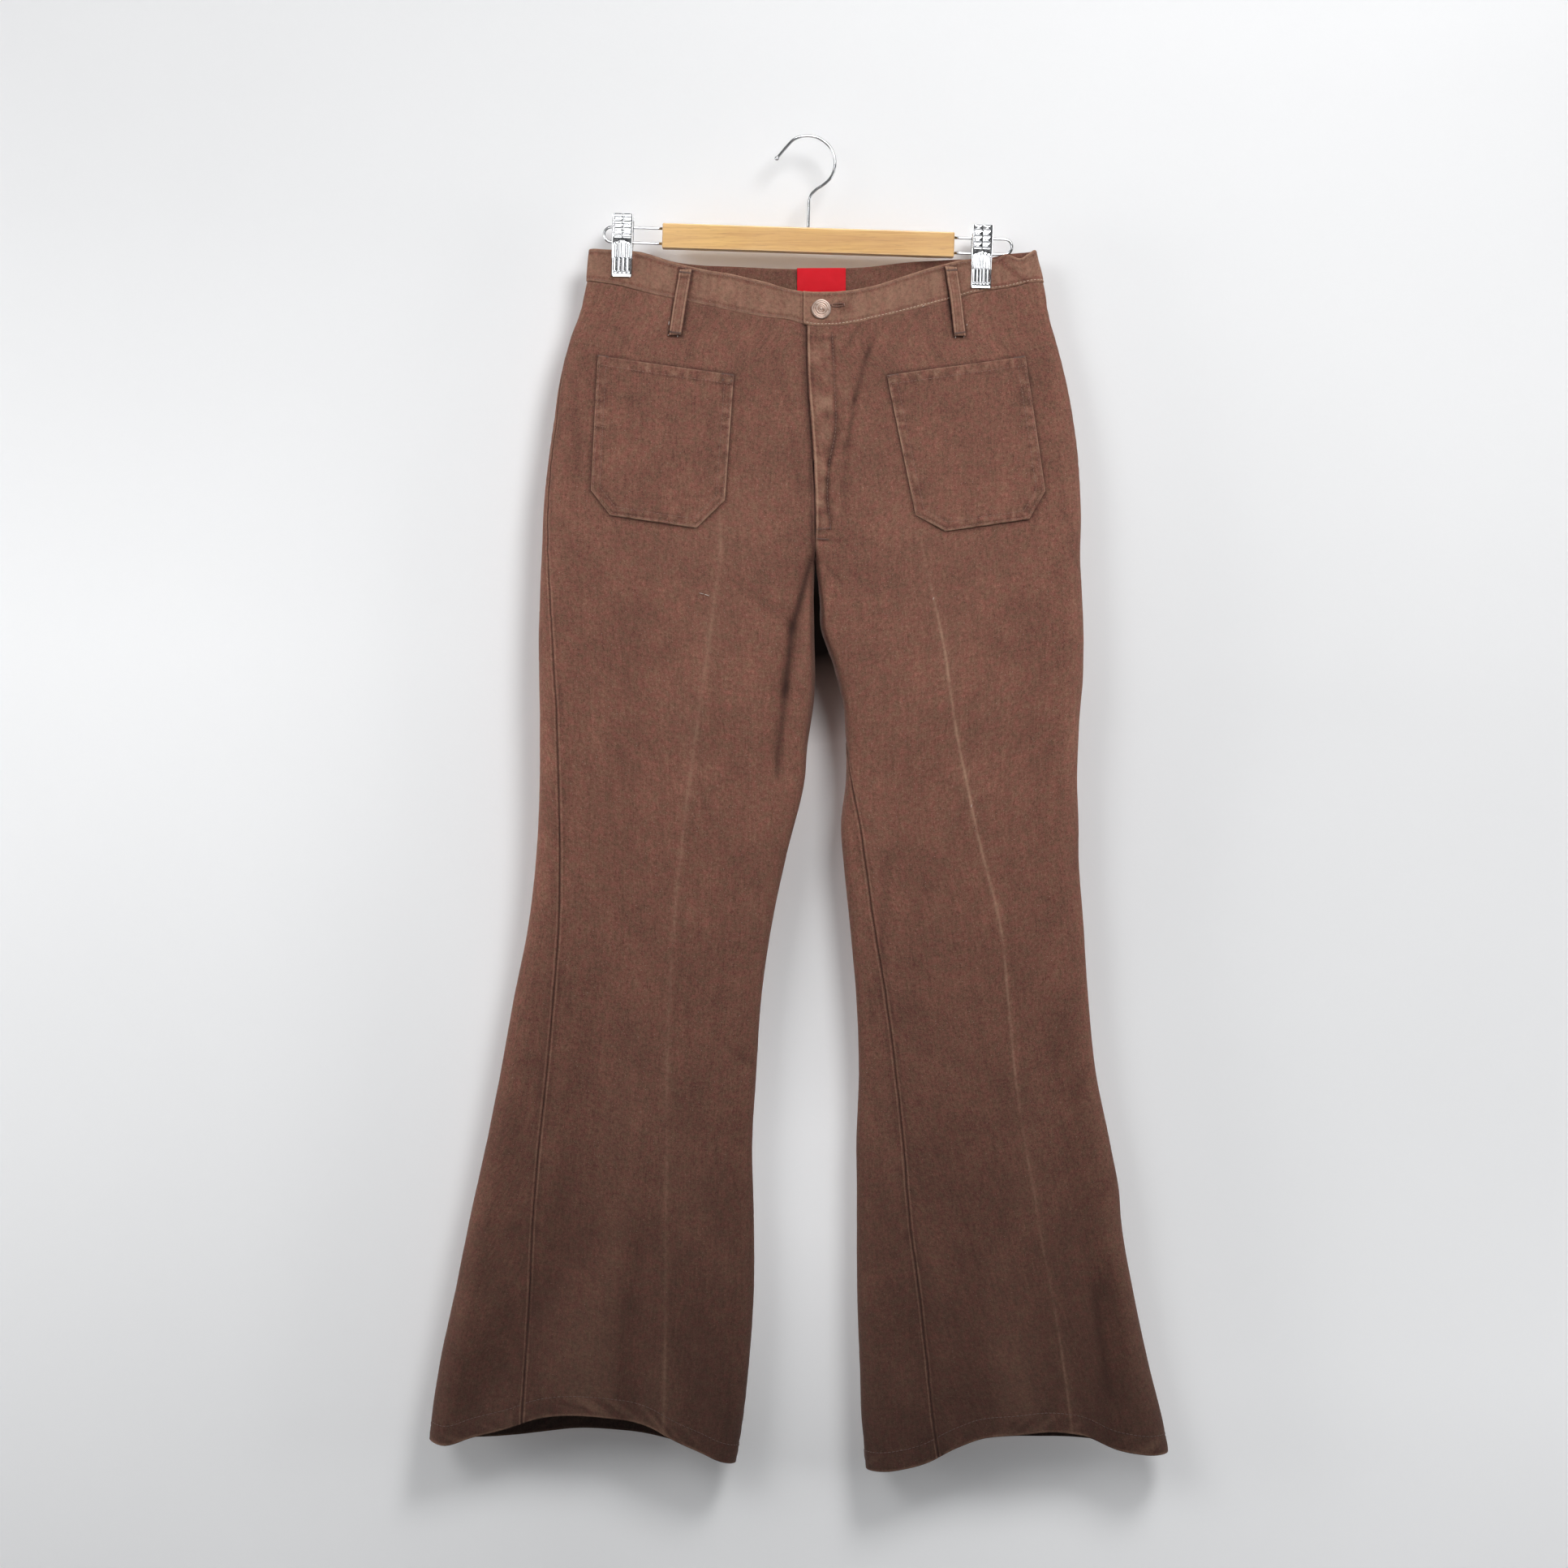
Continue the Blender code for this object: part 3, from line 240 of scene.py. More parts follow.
# Folds in the cloth: troughs from one point to another. sink is how far the middle lies
# below the surface; a negative sink is a ridge. The first of each panel are the solids' own.
FOLD_COLUMNS = ("x0", "z0", "x1", "z1", "half_width", "sink")
FOLDS = {
    "front_left": (
        (-3, -395, -28, -540, 11, 3.0),
        (-215, -1000, -290, -1110, 22, 4.0),
        (-195, -1075, -190, -1150, 30, -5.0),
        (-90, -1060, -75, -1160, 20, 3.5),
        # Finer creases
        (3, -376, -13, -434, 4.2, 3.0),
        (-13, -434, -19, -488, 5, 2.8),
        (-19, -488, -26, -560, 6, 1.8),
        (4, -405, -6, -480, 4.5, -1.4),
        (-251, -594, -234, -807, 14, -1.2),
        (-280, -1015, -252, -1092, 10, 1.6),
        (-60, -395, -20, -425, 7, 0.7),
        (-28, -196, -16, -236, 7, 0.7),
        (-14, -262, -6, -318, 6, 0.7),
        (-170, -168, -150, -190, 6, 0.6),
        (-205, -215, -199, -300, 7, 0.8),
        (-42, -820, -70, -800, 6, 1.0),
        (-104, -318.7, -89, -318.9, 2.2, 0.9),
        (-126, -336, -120, -345, 2.4, 0.7),
        (-60, -560, -74, -760, 13, 1.6),
        (-150, -420, -160, -640, 15, 1.3),
        (-185, -760, -214, -960, 14, 2.2),
        (-145, -980, -160, -1130, 12, 2.4),
    ),
    "back_left": (
        (-120, -560, -190, -900, 26, 4.0),
        (-110, -960, -120, -1160, 26, 5.0),
        (-60, -330, -110, -420, 22, 4.0),
        # Finer creases
        (-20, -386, -70, -402, 6, 1.4),
        (-16, -398, -80, -436, 7, 1.2),
        (-30, -300, -78, -372, 9, 1.0),
        (-150, -200, -168, -262, 8, 0.9),
        (-205, -640, -180, -700, 9, 1.1),
        (-90, -690, -140, -722, 8, 1.2),
        (-88, -716, -150, -738, 7, 1.0),
        (-260, -1020, -240, -1100, 9, 1.4),
    ),
    "front_right": (
        (232, -600, 236, -760, 12, 2.5),
        (255, -1020, 262, -1160, 17, 4.5),
        (95, -1060, 110, -1170, 20, 3.0),
        (183, -1080, 190, -1150, 26, -5.0),
        (203, -170, 205, -235, 12, 2.0),
        # Finer creases
        (54, -190, 42, -232, 4.2, 1.7),
        (42, -232, 36, -272, 4, 1.6),
        (33, -276, 33, -330, 6, 0.9),
        (27, -262, 19, -290, 2.6, 1.5),
        (9, -356, 26, -358, 2.2, 0.9),
        (16, -378, 30, -394, 3, 1.1),
        (22, -374, 36, -388, 3, -0.7),
        (60, -178, 52, -196, 5, 0.8),
        (20, -372, 60, -402, 7, 0.6),
        (242, -600, 236, -640, 7, 1.0),
        (224, -330, 236, -356, 6, 1.0),
        (228, -356, 238, -378, 5, 0.9),
        (246, -820, 236, -842, 7, 1.2),
        (271, -912, 258, -930, 7, 1.2),
        (252, -1020, 264, -1103, 6, 1.4),
        (237, -1090, 248, -1137, 6, 1.2),
        (70, -640, 62, -760, 8, 0.9),
        (150, -338, 146, -348, 2.4, 0.7),
        (44, -170, 33, -190, 3.4, 1.2),
        (10, -318, 20, -322, 5, 0.9),
        (12, -182, 16, -206, 3.4, 0.7),
        (90, -560, 96, -800, 14, 1.6),
        (190, -420, 200, -600, 15, 1.3),
        (214, -780, 240, -960, 13, 2.0),
        (130, -900, 150, -1130, 14, 2.0),
    ),
    "back_right": (
        (130, -560, 190, -900, 26, 4.0),
        (180, -960, 205, -1160, 26, 5.0),
        (70, -330, 120, -420, 22, 4.0),
        # Finer creases
        (24, -386, 76, -404, 6, 1.3),
        (20, -402, 84, -440, 7, 1.2),
        (34, -296, 80, -360, 9, 1.0),
        (158, -196, 172, -250, 8, 0.9),
        (120, -700, 176, -724, 8, 1.2),
        (112, -722, 160, -744, 7, 1.0),
        (222, -1010, 236, -1100, 9, 1.4),
    ),
}

# Soft unevenness of hanging cloth: width and height of a swell, its height off the surface, seed
SWELLS = ((62, 150, 0.9, 11), (24, 60, 0.42, 12), (9, 24, 0.13, 13))
FINE_WIDTH = 8.5
FINE_SHADE = 0.26
BROAD_SHADE = 0.045
SHARP_CREASE = 0.8
SHARP_REACH = 3.2

# The stitched line beside the fly, and the padded strip between it and the fly's edge
FLY_LINE_COLUMNS = ("z", "x")
FLY_LINE = ((-345, 20.4), (-316, 17.6), (-287, 19.7), (-260, 24.7), (-222, 24.0), (-191, 22.6),
            (-168, 21.5))
FLY_LINE_ENDS = (-352.0, -172.0)
PLACKET_RISE = 0.7

# Pocket outlines on the front
POCKET_THICK = 1.4
POCKETS = {
    "left": ((-183.2, -194.5), (-64.0, -212.2), (-71.8, -322.2), (-96.6, -346.3),
             (-171.9, -335.0), (-188.9, -313.0)),
    "right": ((70.1, -212.2), (191.5, -195.2), (208.5, -313.7), (194.3, -338.5),
              (121.2, -349.2), (95.0, -335.0)),
}

# Belt loops: face, x and z of the top and bottom ends, and how far they stand off the cloth
LOOP_WIDTH = 10.6
LOOP_THICK = 1.6
LOOP_BULGE = 2.0
LOOPS = {
    "belt_loop_front_left": ("front", -105.9, -119.0, -115.1, -177.0, 0.6),
    "belt_loop_front_right": ("front", 125.5, -115.5, 134.0, -177.5, 1.0),
    "belt_loop_back_left": ("back", -112.0, -113.0, -112.0, -164.0, 0.6),
    "belt_loop_back_centre": ("back", 3.0, -117.5, 3.0, -170.0, 0.6),
    "belt_loop_back_right": ("back", 108.0, -110.5, 108.0, -162.5, 0.6),
}

LABEL_X = (-8.5, 34.4)
LABEL_TOP = -114.4
LABEL_HEIGHT = 24.0

# Hanger, in its own upright frame, then tilted clockwise about the origin
TILT = 1.8
BAR_LENGTH = 257.0
BAR_HEIGHT = 22.0
BAR_X = 4.2
BAR_Z = -91.2
RAIL_WIRE = 2.4
RAIL_SPACING = 13.4
RAIL_REACH = 181.0
RAIL_X = 4.0
HOOK_WIRE = 2.6
HOOK = (
    (-24.6, -18.0), (-20.6, -12.8), (-17.0, -8.4), (-11.4, -2.5), (-4.8, 0.5), (2.1, 1.3),
    (9.0, 0.0), (15.4, -3.4), (21.0, -8.6), (24.4, -15.0), (25.6, -22.0), (24.8, -29.0),
    (21.6, -35.8), (16.2, -41.2), (9.6, -46.0), (5.6, -50.4), (3.9, -56.0), (3.7, -64.0),
    (3.7, -72.0), (3.7, -79.9),
)
CLIP_X = (-159.2, 157.2)
CLIP_WIDTH = 18.4
CLIP_TOP = -74.5
CLIP_BREAK = -95.0
CLIP_FOOT = -128.5
CLIP_SHEET = 1.1
CLIP_GRIP = 3.0
CLIP_FLANGE = 3.0
CLIP_PROFILE = (
    (-74.5, 10.0), (-78, 9.4), (-95, 7.6), (-100, 6.8), (-106, 4.6), (-112, 3.1), (-127, 3.0),
    (-128.5, 3.6),
)

# The photograph's camera
CAMERA_PLACE = (-20.02, -2500.0, -569.86)
CAMERA_LENS = 65.15

SURFACES = {}


# Reading the tables


def smooth_read(at, knots, values):
    """Read a smooth curve through (knots, values), with slopes from the neighbours."""
    order = np.argsort(knots)
    k = knots[order]
    v = values[order]
    slope = np.gradient(v, k)
    at = np.clip(at, k[0], k[-1])
    i = np.clip(np.searchsorted(k, at) - 1, 0, len(k) - 2)
    step = k[i + 1] - k[i]
    t = (at - k[i]) / step
    return ((1 + 2 * t) * (1 - t) ** 2 * v[i] + t * (1 - t) ** 2 * step * slope[i]
            + t * t * (3 - 2 * t) * v[i + 1] + t * t * (t - 1) * step * slope[i + 1])


def read_table(rows, columns, name, at):
    """Read one column of a table at a value of its first column."""
    table = np.array(rows, float)
    return smooth_read(np.asarray(at, float), table[:, 0], table[:, columns.index(name)])


def leg_value(side, name, z):
    """A column of one leg's table at a height."""
    return read_table(LEFT_LEG if side == "left" else RIGHT_LEG, LEG_COLUMNS, name, z)


def leg_width(side, z):
    """Distance between a leg's two folds at a height."""
    return np.abs(leg_value(side, "inner", z) - leg_value(side, "outer", z))


def smooth_step(t):
    """Rise from 0 to 1 with level ends: 3 t^2 - 2 t^3."""
    t = np.clip(t, 0, 1)
    return t * t * (3 - 2 * t)


def bell(distance, reach):
    """1 at 0, falling away on both sides: exp(-(distance / reach)^2)."""
    return np.exp(-(distance / reach) ** 2)


def round_edge(distance, reach):
    """A quarter of an ellipse: 0 at the fold, 1 from the reach inwards."""
    t = np.clip(distance / reach, 0, 1)
    return np.sqrt(np.maximum(1 - (1 - t) ** 2, 0))


def soft_noise(a, b, seed):
    """Smooth values from -1 to 1: a seeded lattice, blended between its four neighbours."""
    lattice = np.random.default_rng(seed).uniform(-1, 1, (64, 64))
    a, b = np.broadcast_arrays(np.asarray(a, float), np.asarray(b, float))
    i = np.floor(a).astype(int)
    j = np.floor(b).astype(int)
    s = smooth_step(a - i)
    t = smooth_step(b - j)
    low = lattice[i % 64, j % 64] * (1 - s) + lattice[(i + 1) % 64, j % 64] * s
    high = lattice[i % 64, (j + 1) % 64] * (1 - s) + lattice[(i + 1) % 64, (j + 1) % 64] * s
    return low * (1 - t) + high * t


def unit(vectors):
    """Vectors made one long."""
    return vectors / np.maximum(np.linalg.norm(vectors, axis=-1, keepdims=True), 1e-9)


def run_length(points, axis=0):
    """Distance along the rows or columns of a grid of points, from 0."""
    steps = np.linalg.norm(np.diff(points, axis=axis), axis=-1)
    start = np.zeros_like(np.take(steps, [0], axis=axis))
    return np.concatenate([start, np.cumsum(steps, axis=axis)], axis=axis)


# The form of the cloth


def fork_share(z):
    """1 where the two legs are one tube, falling to 0 at the crotch along a quarter circle."""
    t = np.clip((CROTCH_Z + FORK_HEIGHT - z) / FORK_HEIGHT, 0, 1)
    return np.sqrt(np.maximum(1 - t * t, 0))


def fold_relief(side, face, x, z):
    """How far the troughs and ridges move the surface inwards: sink times a bell across each
    line, fading past its two ends, plus the soft swells."""
    total = sum(fold["sink"] * share for fold, share in fold_shares(side, face, x, z))
    shift = 5.3 if face == "front" else 21.7
    for width, height, size, seed in SWELLS:
        total = total + size * soft_noise(x / width + shift, z / height, seed)
    if side == "right" and face == "front":
        total = total - placket(x, z)
    return total


def fold_shade(side, face, x, z):
    """Painted shade and highlight along the folds: darker in the troughs and paler on the ridges,
    more so for the fine creases."""
    total = np.zeros(np.broadcast(x, z).shape)
    for fold, share in fold_shares(side, face, x, z):
        fine = fold["half_width"] <= FINE_WIDTH
        strength = FINE_SHADE if fine else BROAD_SHADE
        sink = fold["sink"] if fold["sink"] > 0 else 0.35 * fold["sink"]
        total = total - strength * sink * share ** (3.5 if fine else 1.5)
    return total


def fold_shares(side, face, x, z):
    """Each fold of one panel, with its share at each place: 1 on its line, 0 away from it."""
    found = []
    for row in FOLDS[face + "_" + side]:
        fold = dict(zip(FOLD_COLUMNS, row))
        half_width = fold["half_width"]
        across, past = beside_line(x, z, *row[:4])
        found.append((fold, np.exp(-(across / half_width) ** 2 - (past / (2 * half_width)) ** 2)))
    return found


def beside_line(x, z, x0, z0, x1, z1):
    """Distance across a straight line between two places, and how far past its ends."""
    length = math.hypot(x1 - x0, z1 - z0)
    along = ((x - x0) * (x1 - x0) + (z - z0) * (z1 - z0)) / length
    across = ((x - x0) * (z1 - z0) - (z - z0) * (x1 - x0)) / length
    return across, np.maximum(0, np.maximum(-along, along - length))


def fly_line(z):
    """Where the stitched line beside the fly lies at a height, and 1 along it, 0 past its
    ends."""
    low, high = FLY_LINE_ENDS
    tall = smooth_step((z - low) / 9) * smooth_step((high - z) / 6)
    return read_table(FLY_LINE, FLY_LINE_COLUMNS, "x", z), tall


def fly_ripples(x, z, broad, fine):
    """The uneven surface beside the fly: two noises of the given sizes."""
    return (broad * soft_noise(z / 9.5, x / 16, 71) + fine * soft_noise(z / 4.4, x / 9, 72))


def placket(x, z):
    """The strip beside the fly: raised and puckered between the fly's edge and its stitched
    line, with a groove along the line."""
    line, tall = fly_line(z)
    within = smooth_step((line - x) / 4) * smooth_step((x + 2) / 3)
    ripples = fly_ripples(x, z, 0.8, 0.4)
    groove = 1.5 * bell(x - line, 2.0) * (0.7 + 0.5 * soft_noise(z / 12, 0.5, 73))
    beyond = 0.5 * soft_noise(z / 9, x / 12, 74) * bell(x - line - 7, 7)
    return tall * (within * (PLACKET_RISE + ripples) - groove + beyond)


def loop_shadow(face, x, z):
    """The dark line on the cloth beside and under each belt loop."""
    total = np.zeros(np.broadcast(x, z).shape)
    for where, x0, z0, x1, z1, _ in LOOPS.values():
        if where != face:
            continue
        across, past = beside_line(x, z, x0, z0, x1, z1)
        beside = np.maximum(np.abs(across) - LOOP_WIDTH / 2 - 0.3, 0)
        total = np.maximum(total, 0.75 * bell(beside, 1.5) * bell(past, 1.5))
    return total


def pinch_share(x, z):
    """1 where a clip presses the front against the back, fading away from it."""
    fall = np.exp(-(np.maximum(PINCH_FLOOR_Z - z, 0) / PINCH_FALL) ** 2)
    near = np.zeros(np.broadcast(x, z).shape)
    for centre in PINCH_X:
        off = np.maximum(np.abs(x - centre) - PINCH_FLAT, 0)
        near = np.maximum(near, np.exp(-(off / PINCH_REACH) ** 2))
    return near * fall


def depth_at(side, face, x, z):
    """Distance from the plane of the folds to the outer face, away from the folds."""
    depth = read_table(DEPTHS, DEPTH_COLUMNS, face, z)
    if face == "front":
        off = np.abs(x - leg_value(side, "crease", z))
        depth = depth + CREASE_RIDGE * bell(off, CREASE_REACH)
        below = smooth_step((-300 - z) / 90)
        depth = depth + SHARP_CREASE * below * np.exp(-off / SHARP_REACH)
    depth = depth - fold_relief(side, face, x, z)
    share = pinch_share(x, z)
    return depth * (1 - share) + PINCH_HALF * share


def fly_rise(x, z, centre):
    """How far the right front stands out where it laps over the left front."""
    reach = smooth_step(1 - (np.abs(x - centre) - FLY_STEP_WIDTH) / FLY_STEP_FALL)
    full, none = FLY_RISE_FADE
    return FLY_RISE * reach * smooth_step((z - none) / (full - none))


def fly_lap(z):
    """How far the left front goes on under the right front."""
    full, none = FLY_LAP_FADE
    return FLY_LAP * smooth_step((z - none) / (full - none))


def folded(u, width, lap):
    """Whether a place round the section lies on the front, and its distance from the outer
    fold. The front goes on past the centre by the lap."""
    on_front = (u >= 0) & (u <= width + lap) | (u > 2 * width)
    turned = np.where(u > 2 * width, u - 2 * width, u)
    return on_front, np.where(on_front, turned, np.where(u < 0, -u, 2 * width - turned))


def leg_point(side, u, z, lap=0.0):
    """The outer face of the cloth at distance u round the section at height z: straight across
    the flat, a quarter ellipse round each fold. The front may run past the centre by the lap."""
    outer = leg_value(side, "outer", z)
    inner = leg_value(side, "inner", z)
    width = np.abs(inner - outer)
    fork = fork_share(z)
    on_front, from_outer = folded(u, width, np.where(fork >= 1, lap, 0.0))
    x = outer + np.sign(inner - outer) * from_outer
    to_inner = np.maximum(width - from_outer, 0)
    round_out = read_table(DEPTHS, DEPTH_COLUMNS, "round_out", z)
    round_in = read_table(DEPTHS, DEPTH_COLUMNS, "round_in", z)
    at_outer = round_edge(np.maximum(from_outer, 0), round_out)
    at_inner = round_edge(to_inner, round_in)
    near_inner = fork + (1 - fork) * at_inner
    inner_y = leg_value(side, "inner_y", z)
    depth = np.where(on_front, -depth_at(side, "front", x, z), depth_at(side, "back", x, z))
    y = depth * at_outer * near_inner + inner_y * (1 - fork) * (1 - at_inner)
    if side == "right":
        y = y - np.where(on_front, fly_rise(x, z, inner), 0)
    return np.stack(np.broadcast_arrays(x, y, z), axis=-1)


def face_point(face, x, z):
    """The outer face above the crotch, seen from the front or the back, at x and z."""
    x, z = np.broadcast_arrays(np.asarray(x, float), np.asarray(z, float))
    found = {}
    for side in ("left", "right"):
        outer = leg_value(side, "outer", z)
        width = leg_width(side, z)
        run = np.abs(x - outer)
        found[side] = leg_point(side, run if face == "front" else 2 * width - run, z)
    left = x < leg_value("left", "inner", z)
    return np.where(left[..., None], found["left"], found["right"])


def laid_point(face, x, z, lift):
    """A point over the cloth's outer face, moved out along its normal by the lift."""
    step = 0.5
    point = face_point(face, x, z)
    across = face_point(face, x + step, z) - face_point(face, x - step, z)
    up = face_point(face, x, z + step) - face_point(face, x, z - step)
    normal = unit(np.cross(across, up))
    if face == "back":
        normal = -normal
    return point + normal * np.broadcast_to(lift, np.shape(x))[..., None], normal


# Meshes


def grid_quads(rows, columns, first=0, wrap=False):
    """The quads of a grid of points, row by row. With wrap the last column meets the first."""
    r = np.arange(rows - 1)[:, None]
    c = np.arange(columns if wrap else columns - 1)[None, :]
    d = (c + 1) % columns
    quads = np.stack([r * columns + c, (r + 1) * columns + c, (r + 1) * columns + d,
                      r * columns + d], axis=-1)
    return quads.reshape(-1, 4) + first


def rim_quads(ring, offset):
    """Quads between a closed ring of points and its copy at an offset in the list."""
    after = np.roll(ring, -1)
    return np.stack([ring, after, after + offset, ring + offset], axis=-1)


def edge_ring(rows, columns):
    """The points round the edge of a grid, in order."""
    index = np.arange(rows * columns).reshape(rows, columns)
    return np.concatenate([index[0, :-1], index[:-1, -1], index[-1, :0:-1], index[:0:-1, 0]])


def add_object(name, data):
    """A new object in the scene, at the origin."""
    thing = bpy.data.objects.new(name, data)
    bpy.context.scene.collection.objects.link(thing)
    return thing


def make_mesh(name, points, faces, material, uv=None, wear_and_shade=None):
    """A mesh object from points in millimetres, with its faces turned outwards."""
    points = np.asarray(points, float).reshape(-1, 3) * MM
    corners = points[faces] - points.mean(axis=0)
    volume = 0.0
    for a, b, c in ((0, 1, 2), (0, 2, 3)):
        volume += (corners[:, a] * np.cross(corners[:, b], corners[:, c])).sum()
    if volume < 0:
        faces = faces[:, ::-1]
    mesh = bpy.data.meshes.new(name)
    mesh.from_pydata(points, [], faces.tolist())
    mesh.polygons.foreach_set("use_smooth", np.ones(len(faces), bool))
    if uv is not None:
        loops = np.zeros(len(mesh.loops), np.int32)
        mesh.loops.foreach_get("vertex_index", loops)
        layer = mesh.uv_layers.new(name="surface")
        layer.data.foreach_set("uv", (np.asarray(uv).reshape(-1, 2)[loops]).ravel())
    if wear_and_shade is not None:
        attribute = mesh.attributes.new("wear_and_shade", "FLOAT", "POINT")
        attribute.data.foreach_set("value", np.asarray(wear_and_shade, np.float32).ravel())
    mesh.materials.append(material)
    mesh.update()
    return add_object(name, mesh)


def shell(name, outer, inner, material, uv=None, wear_and_shade=None, inside=None):
    """A wall between two grids of points, closed round its rim. uv is two grids in millimetres, and
    the inside may have its own wear and painted shade."""
    rows, columns = outer.shape[:2]
    count = rows * columns
    faces = np.concatenate([
        grid_quads(rows, columns),
        grid_quads(rows, columns, count)[:, ::-1],
        rim_quads(edge_ring(rows, columns), count),
    ])
    points = np.concatenate([outer.reshape(-1, 3), inner.reshape(-1, 3)])
    if uv is not None:
        uv = np.concatenate([np.stack(uv, axis=-1).reshape(-1, 2) * MM] * 2)
    if wear_and_shade is not None:
        both = [wear_and_shade.ravel(), (wear_and_shade if inside is None else inside).ravel()]
        wear_and_shade = np.clip(np.concatenate(both), -1, 1)
    return make_mesh(name, points, faces, material, uv, wear_and_shade)


def fan(ring, tip):
    """Triangles from each step round a ring of points to one tip."""
    return np.stack([ring, np.roll(ring, -1), 0 * ring + tip], axis=-1)


def close_mesh(thing, triangles=()):
    """Add triangles between a mesh's points, turn every face outwards and shade it smoothly."""
    shape = bmesh.new()
    shape.from_mesh(thing.data)
    shape.verts.ensure_lookup_table()
    for corners in triangles:
        shape.faces.new([shape.verts[int(i)] for i in corners])
    bmesh.ops.recalc_face_normals(shape, faces=shape.faces[:])
    shape.to_mesh(thing.data)
    shape.free()
    thing.data.shade_smooth()
    return thing


def grid_normals(points):
    """Unit normals of a grid of points, from its slopes along rows and columns."""
    down = np.gradient(points, axis=0)
    across = np.gradient(points, axis=1)
    return unit(np.cross(across, down))


def spread(length, near, far, count):
    """Places from 0 to a length: the close steps near the start, even ones, and the close
    steps near the end."""
    length = np.asarray(length, float)[..., None]
    near = np.array(near, float)
    far = np.array(far, float)
    t = np.linspace(0, 1, count + 2)[1:-1]
    middle = near[-1] + (length - near[-1] - far[-1]) * t
    ones = np.ones_like(length)
    return np.concatenate([near * ones, middle, length - far[::-1] * ones], axis=-1)


# Materials


class Nodes:
    """A material's node tree, with short calls to add and join nodes."""

    def __init__(self, name):
        self.material = bpy.data.materials.new(name)
        self.material.use_nodes = True
        self.tree = self.material.node_tree
        self.shader = self.tree.nodes["Principled BSDF"]

    def plug(self, socket, value):
        """Set a socket, or link another one to it."""
        if isinstance(value, bpy.types.NodeSocket):
            self.tree.links.new(value, socket)
        else:
            socket.default_value = value

    def add(self, kind, inputs=(), **settings):
        """Add a node, with its settings and its inputs."""
        node = self.tree.nodes.new(kind)
        for key, value in settings.items():
            setattr(node, key, value)
        for key, value in dict(inputs).items():
            self.plug(node.inputs[key], value)
        return node

    def sum(self, a, b, clamp=False):
        """a + b."""
        return self.add("ShaderNodeMath", {0: a, 1: b}, operation="ADD",
                        use_clamp=clamp).outputs[0]

    def product(self, a, b, clamp=False):
        """a * b."""
        return self.add("ShaderNodeMath", {0: a, 1: b}, operation="MULTIPLY",
                        use_clamp=clamp).outputs[0]

    def place(self):
        """The place on the object, in metres."""
        return self.add("ShaderNodeTexCoord").outputs["Object"]

    def part(self, vector, axis):
        """One part of a vector: 0, 1 or 2."""
        return self.add("ShaderNodeSeparateXYZ", {0: vector}).outputs[axis]

    def distance(self, vector, point):
        """Distance from a point."""
        return self.add("ShaderNodeVectorMath", {0: vector, 1: point},
                        operation="DISTANCE").outputs[1]

    def noise(self, vector, scale, detail=2.0, rough=0.5):
        """Cloudy values round one half."""
        return self.add("ShaderNodeTexNoise", {"Vector": vector, "Scale": scale, "Detail": detail,
                                               "Roughness": rough}).outputs["Fac"]

    def stretch(self, vector, scale):
        """A vector times another, part by part."""
        return self.add("ShaderNodeVectorMath", {0: vector, 1: scale},
                        operation="MULTIPLY").outputs[0]

    def between(self, value, low, high, to_low=0.0, to_high=1.0):
        """A value from low to high carried to another range, and held at its ends."""
        return self.add("ShaderNodeMapRange", {"Value": value, "From Min": low, "From Max": high,
                                               "To Min": to_low, "To Max": to_high}).outputs[0]

    def mix(self, factor, a, b, blend="MIX"):
        """Two colours, mixed or blended by a factor."""
        return self.add("ShaderNodeMix", {0: factor, 6: a, 7: b}, data_type="RGBA",
                        blend_type=blend).outputs[2]

    def shaded(self, colour, value):
        """A colour times a grey of the given value."""
        grey = self.add("ShaderNodeCombineColor", {0: value, 1: value, 2: value}).outputs[0]
        return self.mix(1.0, colour, grey, "MULTIPLY")

    def bump(self, height, strength, distance, normal=None):
        """Relief from a height, over another relief if one is given."""
        inputs = {"Height": height, "Strength": strength, "Distance": distance}
        if normal is not None:
            inputs["Normal"] = normal
        return self.add("ShaderNodeBump", inputs).outputs[0]

    def surface(self, **inputs):
        """Set or link the shader's inputs, with a line under for each space in a name."""
        for key, value in inputs.items():
            self.plug(self.shader.inputs[key.replace("_", " ")], value)
        return self.material


def rgb(colour):
    """A colour with full alpha."""
    return (*colour, 1.0)


